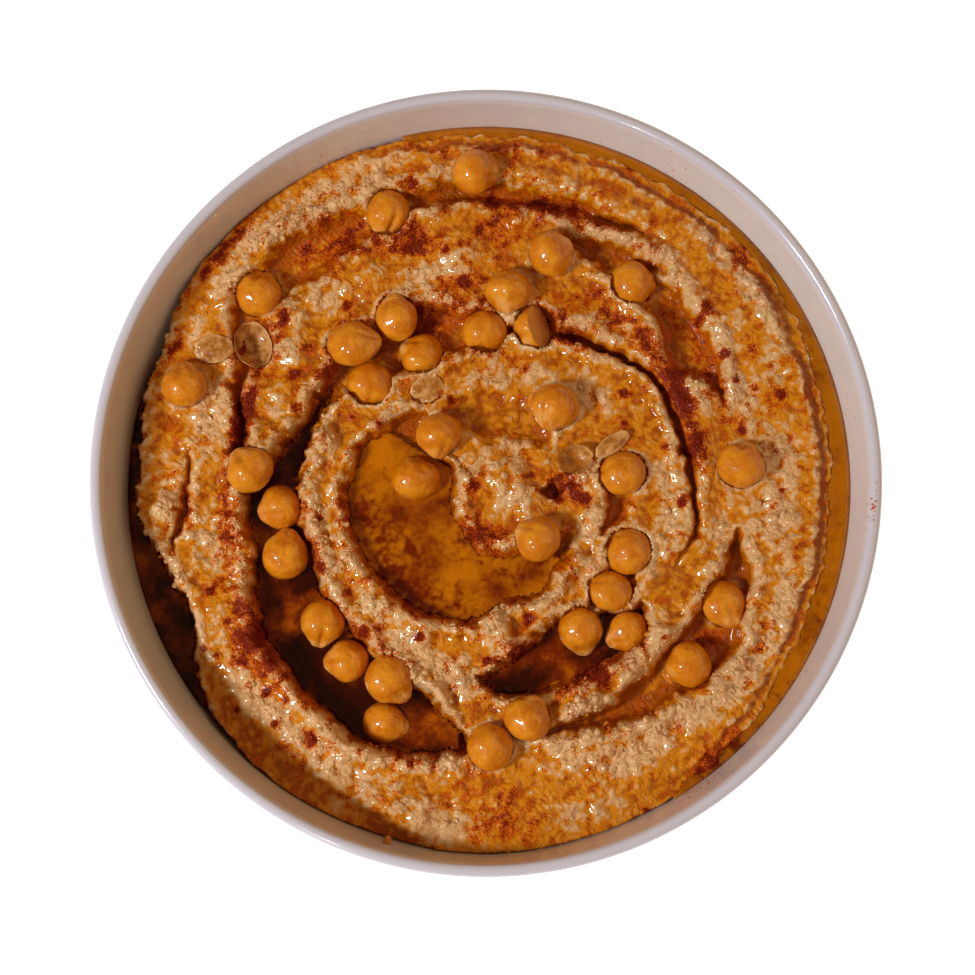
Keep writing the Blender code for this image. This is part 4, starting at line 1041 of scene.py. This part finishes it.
# %% [markdown]
# ## Finish of the hummus
#
# Three layers, from the bottom up: beige paste with paler and darker grain, oil that has soaked in and
# turned it from tan to amber, and paprika. The numbers kept on the mesh say where, and fine noise breaks up
# every edge, because oil creeps unevenly. Wet paste shines, so a clear coat gives it tiny sparkles.

# %% Paste
paste, tree, shader = new_material("hummus_paste", IOR=1.45, Coat_Roughness=0.07, Specular_IOR_Level=0.12)
where = object_coordinates(tree)
fine = grain_noise(tree, where, 1.5, detail=3, roughness=0.62)
sparkle = grain_noise(tree, where, 0.42, detail=0)


def pebbles(tree, where, size):
    """Rounded grains with creases between them: noise folded about its middle."""
    folded = scaled(tree, grain_noise(tree, where, size, detail=0), 4.0, -2.0)
    return calculate(tree, "ABSOLUTE", folded)


grains = pebbles(tree, where, 1.9)
small_grains = pebbles(tree, where, 0.9)
grainy = soft_step(tree, fine, 0.3, 0.7)
colour = blend_colours(tree, grainy, (0.60, 0.32, 0.115, 1), (0.80, 0.51, 0.27, 1))
soaked = calculate(tree, "ADD", attribute(tree, "soak"), scaled(tree, fine, 0.6, -0.16))
soaked = scaled(tree, grains, -0.25, soaked)
colour = blend_colours(tree, soft_step(tree, soaked, 0.22, 0.57), colour, (0.64, 0.22, 0.0015, 1))
colour = blend_colours(tree, soft_step(tree, soaked, 0.66, 1.15), colour, (0.38, 0.080, 0.0003, 1))
speckle = scaled(tree, sparkle, 0.45, calculate(tree, "MULTIPLY", fine, 0.55))
colour, powdered = dusted(tree, attribute(tree, "spice"), speckle, colour)
tree.links.new(colour, shader.inputs["Base Color"])
oily = soft_step(tree, soaked, 0.3, 1.0)
roughness = scaled(tree, oily, -0.15, scaled(tree, powdered, 0.15, 0.50))
tree.links.new(roughness, shader.inputs["Roughness"])
clear = scaled(tree, oily, -0.35, 0.95)
film_on_top = calculate(tree, "MULTIPLY", clear, scaled(tree, powdered, -0.85, 1.0))
tree.links.new(film_on_top, shader.inputs["Coat Weight"])
relief = scaled(tree, small_grains, 0.35, scaled(tree, sparkle, 0.2, grains))
add_bump(tree, shader, relief, 0.6, 0.42)
hummus.data.materials.append(paste)
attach(hummus, "root")
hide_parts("hummus")
print("paste:", paste.name)

# %% [markdown]
# ## Oil
#
# Oil finds its own level in each hollow. A pool is cut from the same grid as the hummus: every cell that
# lies under the level, and a little beyond, where the paste hides it. The oil climbs the paste by a fraction
# of a millimetre at its shore, and this meniscus is what catches the light. Thin oil lets the paste through
# and deep oil hides it, so each point keeps a veil from 0 to 1 that is worked out from its depth. How fast
# the veil thickens differs from pool to pool, because paprika has settled in some of them.

# %% Pools
Pool = namedtuple("Pool", "name node level turn reach clearness")
POOLS = [
    Pool("oil_in_crescent", "oil_crescent", 28.6, (140, 264), (40, 74), 1.5),
    Pool("oil_in_centre", "oil_centre", 31.6, (150, 316), (5, 41), 3.8),
    Pool("oil_in_lower_bend", "oil_lower", 29.8, (266, 322), (36, 58), 0.5),
    Pool("oil_along_right_wall", "oil_edge_right", 33.2, (-60, 112), (84, 110), 40.0),
    Pool("oil_along_left_wall", "oil_edge_left", 27.6, (142, 250), (77, 110), 1.8),
]
SHORE = 0.45
MENISCUS = 0.35
MENISCUS_REACH = 0.6
WALL_GAP = 0.05
UNDER_OIL = 0.4


def largest_region(mask):
    """The largest connected group of cells."""
    left = {(int(i), int(j)) for i, j in zip(*np.nonzero(mask))}
    best = set()
    while left:
        front = [left.pop()]
        group = set(front)
        while front:
            i, j = front.pop()
            for cell in ((i + 1, j), (i - 1, j), (i, j + 1), (i, j - 1)):
                if cell in left:
                    left.discard(cell)
                    group.add(cell)
                    front.append(cell)
        best = group if len(group) > len(best) else best
    return best


def as_mesh(made, name):
    """A mesh of this name from what bmesh made, which is freed."""
    mesh = bpy.data.meshes.new(name)
    made.to_mesh(mesh)
    made.free()
    return mesh


def pool_mesh(pool):
    """The oil of one pool: its surface, its underside a little in the paste, and the edge between them."""
    angle, radius = as_seen(top_x, top_y)
    start, end = pool.turn
    inside = ((angle - start) % 360 <= end - start) & (radius > pool.reach[0]) & (radius < pool.reach[1])
    under = inside & (top_z < pool.level + SHORE)
    cells = under[:-1, :-1] & under[1:, :-1] & under[1:, 1:] & under[:-1, 1:]
    region = sorted(largest_region(cells))
    depth = np.clip(pool.level - top_z, 0, None)
    surface = pool.level + MENISCUS * np.exp(-depth / MENISCUS_REACH)
    for pea, spot in zip(PEAS, pea_spots):
        reach = (pea.length + pea.width) / 4
        under_level = min(abs(pool.level - spot.z) / (reach * PEA_FLATNESS), 1.0)
        away = np.hypot(top_x - spot.x, top_y - spot.y) - reach * math.sqrt(1 - under_level**2)
        surface += MENISCUS * (under_level < 1) * np.exp(-np.clip(away, 0, None) / MENISCUS_REACH)
    last = HUMMUS_CELLS
    made = bmesh.new()
    veil = made.verts.layers.float.new("veil")
    spiced = made.verts.layers.float.new("spice")
    top, bottom = {}, {}

    def point(store, key, z):
        if key not in store:
            x, y = top_x[key], top_y[key]
            if key[0] in (0, last) or key[1] in (0, last):
                z += MENISCUS
                to_wall = (wall_radius(z) - WALL_GAP) / math.hypot(x, y)
                x, y = x * to_wall, y * to_wall
            store[key] = made.verts.new((x * MM, y * MM, z * MM))
            store[key][veil] = 1 - math.exp(-depth[key] / pool.clearness)
            store[key][spiced] = spice[key]
        return store[key]

    for i, j in region:
        ring = [(i, j), (i + 1, j), (i + 1, j + 1), (i, j + 1)]
        made.faces.new([point(top, key, surface[key]) for key in ring])
        low = [point(bottom, key, min(top_z[key], surface[key]) - UNDER_OIL) for key in ring]
        made.faces.new(low[::-1])
    pairs = {vert: bottom[key] for key, vert in top.items()}
    for edge in [e for e in made.edges if e.is_boundary and e.verts[0] in pairs]:
        a, b = edge.verts
        made.faces.new((a, b, pairs[b], pairs[a]))
    bmesh.ops.recalc_face_normals(made, faces=made.faces)
    return as_mesh(made, pool.name)


print("pools:", len(POOLS))

# %% Oil finish
oil, tree, shader = new_material("spiced_oil", Roughness=0.05, IOR=1.47, Specular_IOR_Level=0.3)
where = object_coordinates(tree)
veil = attribute(tree, "veil")
murk = grain_noise(tree, where, 1.3, detail=2, roughness=0.6)
cloud = scaled(tree, grain_noise(tree, where, 11, detail=2), 1.8, -0.9)
clouded = scaled(tree, murk, 0.4, calculate(tree, "ADD", cloud, -0.2))
thick = calculate(tree, "ADD", veil, clouded)
deep = soft_step(tree, thick, 0.0, 0.75)
colour = blend_colours(tree, deep, (0.74, 0.23, 0.001, 1), (0.26, 0.034, 0.0004, 1))
colour = blend_colours(tree, soft_step(tree, thick, 0.5, 1.0), colour, (0.034, 0.0020, 0.0001, 1))
settled = calculate(tree, "ADD", attribute(tree, "spice"), scaled(tree, murk, 1.2, -0.6))
cloudy = soft_step(tree, settled, 0.3, 1.25)
colour = blend_colours(tree, cloudy, colour, (0.16, 0.014, 0.0004, 1))
tree.links.new(colour, shader.inputs["Base Color"])
alpha = scaled(tree, veil, 0.6, scaled(tree, cloudy, 0.35, 0.5), clamp=True)
tree.links.new(alpha, shader.inputs["Alpha"])
add_bump(tree, shader, murk, 0.12, 0.4)

for pool in POOLS:
    made = add_object(pool.name, pool_mesh(pool))
    made.data.shade_smooth()
    made.data.materials.append(oil)
    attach(made, "root")
    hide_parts(pool.node)
    print(pool.name, len(made.data.polygons), "faces")

# %% [markdown]
# ## Chickpeas
#
# A cooked chickpea is a ball with a small beak, two cheeks and a seam between them. Its shape is a reach
# from the middle for every direction, so one function makes all of them, and each gets its own beak, seam
# and dents from a number of its own. The skin is thin and oily, and paler where it has come loose near the
# beak. Its lower part is darker: partly oil stain, partly painted shade.

# %% Chickpea shape
PEA_SIDES = 56
PEA_RINGS = 40
SEAM_DEPTH = 0.09
SPLIT_DEPTH = 0.17
SPLIT_PEAS = (2, 5, 14, 26)
PEA_LENGTHS = 2.17  # a chickpea's length over its body's radius, because the beak adds to it
PEA_STEP = 3.7  # keeps each chickpea's noise apart from the next one's
HALF_CUT = 0.8
PEA_ROLL = (0.5, 2.4)  # size, and how fast it changes from one chickpea to the next
PEA_TIP = (0.22, 1.7)
BEAK_WIDTH = 0.34
SHOULDER_AT = 0.78
SHOULDER_WIDTH = 0.3
SEAM_WIDTH = 0.16


def pea_reach(direction, character, seam_depth):
    """How far the skin reaches in a direction, for a body of radius 1. The beak points along +X."""
    x, y, z = direction
    vary = math.sin(character * 5.1)
    from_beak = math.acos(max(-1.0, min(1.0, x)))
    beak = (0.15 + 0.05 * vary) * math.exp(-((from_beak / BEAK_WIDTH) ** 2))
    shoulder = -0.05 * math.exp(-(((from_beak - SHOULDER_AT) / SHOULDER_WIDTH) ** 2))
    upper_beak_side = float(smoothstep((z + 0.35) / 0.6) * smoothstep((x + 0.5) / 1.1))
    seam = -seam_depth * (1 - 0.3 * vary) * math.exp(-((y / SEAM_WIDTH) ** 2)) * upper_beak_side
    cheeks = 0.035 * abs(y) ** 1.5
    uneven = 0.05 * noise.noise((x * 1.3 + character, y * 1.3, z * 1.3))
    dents = 0.014 * noise.noise((x * 3.6, y * 3.6 + character, z * 3.6))
    wrinkle = 0.018 * noise.noise((x * 8, y * 8, z * 8 + character)) * (0.5 + math.exp(-from_beak))
    return 1 + beak + shoulder + seam + cheeks + uneven + dents + wrinkle


def pea_turn(number, pea):
    """The chickpea's heading, with a small roll and tip of its own."""
    roll, tip = (size * math.sin(number * pace) for size, pace in (PEA_ROLL, PEA_TIP))
    return (
        Matrix.Rotation(math.radians(pea.heading), 3, "Z")
        @ Matrix.Rotation(tip, 3, "Y")
        @ Matrix.Rotation(roll, 3, "X")
    )


def pea_mesh(number, pea, spot):
    made = bmesh.new()
    turn = Matrix.Rotation(math.pi / 2, 4, "Y")
    bmesh.ops.create_uvsphere(made, u_segments=PEA_SIDES, v_segments=PEA_RINGS, radius=1, matrix=turn)
    half_length, half_width = pea.length / PEA_LENGTHS, pea.width / 2
    size = (half_length, half_width, half_width * PEA_FLATNESS)
    rotation = pea_turn(number, pea)
    beak_side = made.verts.layers.float.new("beak_side")
    upper = made.verts.layers.float.new("upper")
    cut_face = made.faces.layers.float.new("cut_face")
    character = number * PEA_STEP
    seam_depth = SPLIT_DEPTH if number in SPLIT_PEAS else SEAM_DEPTH
    for point in made.verts:
        direction = point.co.normalized()
        point[beak_side] = direction.x
        skin = direction * pea_reach(direction, character, seam_depth)
        point.co = Vector(s * c for s, c in zip(skin, size))
    if number == HALF_PEA:
        normal = (rotation.inverted() @ HALF_FACE).normalized()
        whole = made.verts[:] + made.edges[:] + made.faces[:]
        bmesh.ops.bisect_plane(
            made, geom=whole, plane_co=normal * HALF_CUT, plane_no=normal, clear_outer=True
        )
        filled = bmesh.ops.holes_fill(made, edges=[e for e in made.edges if e.is_boundary])["faces"]
        inner = bmesh.ops.poke(made, faces=filled)["faces"]
        for face in inner:
            face[cut_face] = 1.0
    for point in made.verts:
        turned = rotation @ point.co
        point[upper] = turned.z / half_width
        point.co = (turned + spot) * MM
    return as_mesh(made, f"chickpea_{number:02d}")


print("faces round a chickpea:", PEA_SIDES)

# %% Chickpea skin
HALF_SHARP = math.radians(50)
PEA_DUST = 0.14
pea_skin, tree, shader = new_material(
    "cooked_chickpea", IOR=1.42, Coat_Weight=0.8, Coat_Roughness=0.04, Specular_IOR_Level=0.22
)
where = object_coordinates(tree)
blotch = grain_noise(tree, where, 4, detail=2)
wrinkles = grain_noise(tree, where, 1.5, detail=2.5, roughness=0.5)
specks = grain_noise(tree, where, 1.2, detail=4, roughness=0.55)
blotchy = soft_step(tree, blotch, 0.35, 0.65)
tone = blend_colours(tree, blotchy, (0.61, 0.178, 0.002, 1), (0.74, 0.270, 0.009, 1))
pale = calculate(tree, "ADD", attribute(tree, "beak_side"), scaled(tree, blotch, 1.4, -0.9))
tone = blend_colours(tree, soft_step(tree, pale, 0.45, 1.15), tone, (0.78, 0.39, 0.11, 1))
# Painted shade: each chickpea's lower part is darkened, partly as oil stain from the paste it sits in and
# partly to stand in for the shade under it.
low = scaled(tree, blotch, -1.2, calculate(tree, "SUBTRACT", 0.85, attribute(tree, "upper")))
tone = blend_colours(tree, soft_step(tree, low, 0.0, 0.9), tone, (0.46, 0.095, 0.001, 1))
tone = blend_colours(tree, attribute(tree, "cut_face"), tone, (0.74, 0.37, 0.11, 1))
tone, _ = dusted(tree, PEA_DUST, specks, tone)
tree.links.new(tone, shader.inputs["Base Color"])
tree.links.new(scaled(tree, wrinkles, 0.4, 0.2), shader.inputs["Roughness"])
add_bump(tree, shader, scaled(tree, specks, 0.25, wrinkles), 0.9, 0.45)

for number, (pea, spot) in enumerate(zip(PEAS, pea_spots), start=1):
    made = add_object(f"whole_chickpea_{number:02d}", pea_mesh(number, pea, spot))
    made.data.shade_smooth()
    if number == HALF_PEA:
        made.name = f"half_chickpea_{number:02d}"
        made.data.set_sharp_from_angle(angle=HALF_SHARP)
    made.data.materials.append(pea_skin)
    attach(made, "root")
    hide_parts(f"chickpea_{number:02d}")
print("chickpeas:", len(PEAS))

# %% [markdown]
# ## Loose skins
#
# A loose skin is a thin cup or a slightly crumpled flake, and light shines through it. Both are made as
# rings about a middle, with a second wall under the first. A cup follows half of an uneven ball, and a flake
# droops towards its rim.

# %% Skins
CUP_OPEN = 0.95
FLAKE_WAVE = 0.35
CRUMPLE_REACH = 0.10
CRUMPLE_RISE = 0.5
CRUMPLE_PACE = 2.2


def skin_sheet(skin, rings=16, sides=48):
    """A dished sheet with a thickness: rings about its middle, the upper face and then the lower one."""
    made = bmesh.new()
    rim = made.verts.layers.float.new("rim")
    depth = CUP_DEPTH if skin.cup else 0.0
    walls = []
    for offset in (0.0, -SKIN_THICKNESS):
        middle = made.verts.new((0, 0, offset - depth))
        levels = []
        for ring in range(1, rings + 1):
            share = ring / rings
            levels.append([])
            for s in range(sides):
                t = 2 * math.pi * s / sides
                across, up = math.cos(t) * share * CRUMPLE_PACE, math.sin(t) * share * CRUMPLE_PACE
                crumple = noise.noise((across + skin.across, up, 1.0))
                if skin.cup:
                    low = math.pi / 2 * share * CUP_OPEN
                    flat, drop = math.sin(low), -depth * math.cos(low)
                else:
                    flat, drop = share, -FLAKE_DROOP * share**2 + FLAKE_WAVE * math.sin(3 * t) * share
                reach = 1 + CRUMPLE_REACH * crumple * share
                levels[-1].append(made.verts.new((
                    skin.long * flat * reach * math.cos(t), skin.short * flat * reach * math.sin(t),
                    drop + offset * (1 - 0.5 * share) + CRUMPLE_RISE * crumple * share,
                )))
                levels[-1][-1][rim] = share**8
        walls.append((middle, levels))
    for middle, levels in walls:
        for s in range(sides):
            made.faces.new((middle, levels[0][s], levels[0][(s + 1) % sides]))
        for inner, outer in zip(levels, levels[1:]):
            for s in range(sides):
                after = (s + 1) % sides
                made.faces.new((inner[s], outer[s], outer[after], inner[after]))
    for s in range(sides):
        after = (s + 1) % sides
        upper, lower = (levels[-1] for _, levels in walls)
        made.faces.new((upper[s], upper[after], lower[after], lower[s]))
    bmesh.ops.recalc_face_normals(made, faces=made.faces)
    return made


loose_skin, tree, shader = new_material(
    "loose_skin", Roughness=0.3, IOR=1.4, Coat_Weight=0.4, Coat_Roughness=0.05
)
where = object_coordinates(tree)
vein = grain_noise(tree, where, 2.2, detail=4)
rim = attribute(tree, "rim")
veined = soft_step(tree, vein, 0.35, 0.65)
film_colour = blend_colours(tree, veined, (0.50, 0.17, 0.012, 1), (0.80, 0.43, 0.13, 1))
tree.links.new(blend_colours(tree, rim, film_colour, (0.84, 0.52, 0.22, 1)), shader.inputs["Base Color"])
opaque = scaled(tree, vein, 0.9, scaled(tree, rim, 0.5, 0.05), clamp=True)
tree.links.new(opaque, shader.inputs["Alpha"])
add_bump(tree, shader, vein, 0.6, 0.5)

for skin, spot in zip(SKINS, skin_spots):
    heading, tilt = math.radians(skin.heading), math.radians(skin.tilt)
    rotation = Matrix.Rotation(heading, 3, "Z") @ Matrix.Rotation(tilt, 3, "X")
    body = skin_sheet(skin)
    for point in body.verts:
        point.co = (rotation @ point.co + spot) * MM
    made = add_object("loose_" + skin.name, as_mesh(body, "loose_" + skin.name))
    made.data.shade_smooth()
    made.data.materials.append(loose_skin)
    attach(made, "root")
    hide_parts(skin.name)
print("loose skins:", len(SKINS))

# %% [markdown]
# ## Lumps, crumbs and grains
#
# Lumps of paste, crumbs and coarse paprika lie loose on the hummus. A Geometry Nodes tree throws points on
# the surface, as many as one of the surface's own numbers asks for, and puts a small ball on each of them.
# Noise then pulls the balls out of shape. The same tree makes all three, with other sizes, and each result
# is one mesh. The surface's soak and spice travel with the points, so a lump has the stain of the paste that
# it lies on. One more crumb has landed on the near wall, and it is made by itself.

# %% The scatter tree
PULL_LENGTH = 0.9


def scatter_tree():
    tree, given, out = new_tree("scatter_on_surface", [
        ("Per square metre", "Float"), ("Where", "String"), ("Above", "Float"), ("Smallest", "Float"),
        ("Largest", "Float"), ("Uneven", "Float"), ("Sunk", "Float"), ("Roundness", "Int"), ("Seed", "Int"),
        ("Finish", "Material"),
    ])
    share = add_node(tree, "GeometryNodeInputNamedAttribute", {"Name": given["Where"]}, data_type="FLOAT")
    over = calculate(tree, "SUBTRACT", share.outputs["Attribute"], given["Above"])
    density = calculate(tree, "MULTIPLY", calculate(tree, "MAXIMUM", over, 0.0), given["Per square metre"])
    points = add_node(tree, "GeometryNodeDistributePointsOnFaces", {
        "Mesh": given["Geometry"], "Density": density, "Seed": given["Seed"],
    })
    ball = add_node(tree, "GeometryNodeMeshIcoSphere", {"Radius": 1.0, "Subdivisions": given["Roundness"]})
    least = add_node(tree, "ShaderNodeCombineXYZ", {axis: given["Smallest"] for axis in range(3)})
    most = add_node(tree, "ShaderNodeCombineXYZ", {axis: given["Largest"] for axis in range(3)})
    sizes = add_node(tree, "FunctionNodeRandomValue", {
        "Min": least.outputs[0], "Max": most.outputs[0], "Seed": given["Seed"],
    }, data_type="FLOAT_VECTOR")
    turns = add_node(tree, "FunctionNodeRandomValue", {
        "Max": (math.tau, math.tau, math.tau), "Seed": given["Seed"],
    }, data_type="FLOAT_VECTOR")
    down = add_node(tree, "ShaderNodeCombineXYZ", {"Z": calculate(tree, "MULTIPLY", given["Sunk"], -1.0)})
    sunk = add_step(tree, "SetPosition", points.outputs["Points"], Offset=down.outputs[0])
    balls = add_node(tree, "GeometryNodeInstanceOnPoints", {
        "Points": sunk, "Instance": ball.outputs["Mesh"], "Scale": sizes.outputs[0],
        "Rotation": turns.outputs[0],
    })
    real = add_step(tree, "RealizeInstances", balls.outputs[0])
    pull = add_node(tree, "ShaderNodeTexNoise", {"Scale": 1 / (PULL_LENGTH * MM), "Detail": 1.0})
    pulled = {0: pull.outputs["Color"], 1: (0.5, 0.5, 0.5)}
    centred = add_node(tree, "ShaderNodeVectorMath", pulled, operation="SUBTRACT")
    stretched = {0: centred.outputs[0], "Scale": given["Uneven"]}
    moved = add_node(tree, "ShaderNodeVectorMath", stretched, operation="SCALE")
    uneven = add_step(tree, "SetPosition", real, Offset=moved.outputs[0])
    tree.links.new(add_step(tree, "SetMaterial", uneven, Material=given["Finish"]), out.inputs[0])
    return tree


scatter = scatter_tree()
print("scatter tree ready")

# %% Lumps, crumbs and paprika
paprika, tree, shader = new_material("paprika_grains", Roughness=0.4, Coat_Weight=0.4, Coat_Roughness=0.1)
where = object_coordinates(tree)
tree.links.new(
    blend_colours(tree, grain_noise(tree, where, 1.2), (0.20, 0.012, 0.0003, 1), (0.52, 0.085, 0.001, 1)),
    shader.inputs["Base Color"],
)


def scatter_piece(name, slot, **values):
    """A piece of many grains that the tree scatters on the hummus, with the tree's inputs by name."""
    made = add_object(name, hummus.data)
    made.data = run_tree(made, scatter, {key.replace("_", " "): value for key, value in values.items()})
    made.data.shade_smooth()
    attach(made, "root")
    print(name, len(made.data.polygons), "faces")
    return made


scatter_piece(
    "hummus_lumps", "hummus_paste", Per_square_metre=2.6e5, Where="crumble", Above=0.1, Smallest=0.45 * MM,
    Largest=1.2 * MM, Uneven=0.9 * MM, Sunk=0.45 * MM, Roundness=2, Seed=3, Finish=paste,
)
scatter_piece(
    "hummus_crumbs", "hummus_paste", Per_square_metre=6e5, Where="crumble", Above=0.0, Smallest=0.3 * MM,
    Largest=0.6 * MM, Uneven=0.4 * MM, Sunk=0.2 * MM, Roundness=1, Seed=9, Finish=paste,
)
CRUMB_ACROSS, CRUMB_UP, CRUMB_SIZE = -24.9, -89.4, 1.1
CRUMB_SUNK = 0.6
CRUMB_UNEVEN = 0.45
CRUMB_STEP = 0.1


def wall_crumb():
    """The one crumb that landed on the near wall, found where the view's ray meets the wall."""
    height = FOOD_LEVEL
    while place(CRUMB_ACROSS, CRUMB_UP, height).xy.length > wall_radius(height) - CRUMB_SIZE * CRUMB_SUNK:
        height += CRUMB_STEP
    spot = place(CRUMB_ACROSS, CRUMB_UP, height)
    shell = bmesh.new()
    bmesh.ops.create_icosphere(shell, subdivisions=3, radius=1)
    for point in shell.verts:
        swell = 1 + CRUMB_UNEVEN * noise.noise(point.co * 1.6)
        point.co = (point.co * CRUMB_SIZE * swell + spot) * MM
    mesh = as_mesh(shell, "wall_crumb")
    points = np.ones(len(mesh.vertices))
    keep_numbers(mesh, soak=0.5 * points, spice=0.3 * points)
    mesh.shade_smooth()
    mesh.materials.append(paste)
    return add_object("wall_crumb", mesh), height


crumb, crumb_height = wall_crumb()
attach(crumb, "root")
print("crumb on the wall at", round(crumb_height, 1), "mm")

scatter_piece(
    "paprika_flakes", "hummus_paste", Per_square_metre=6.2e5, Where="spice", Above=0.15, Smallest=0.06 * MM,
    Largest=0.26 * MM, Uneven=0.0, Sunk=0.0, Roundness=1, Seed=4, Finish=paprika,
)

# %% [markdown]
# ## End

# %% End
print("the scene is built")
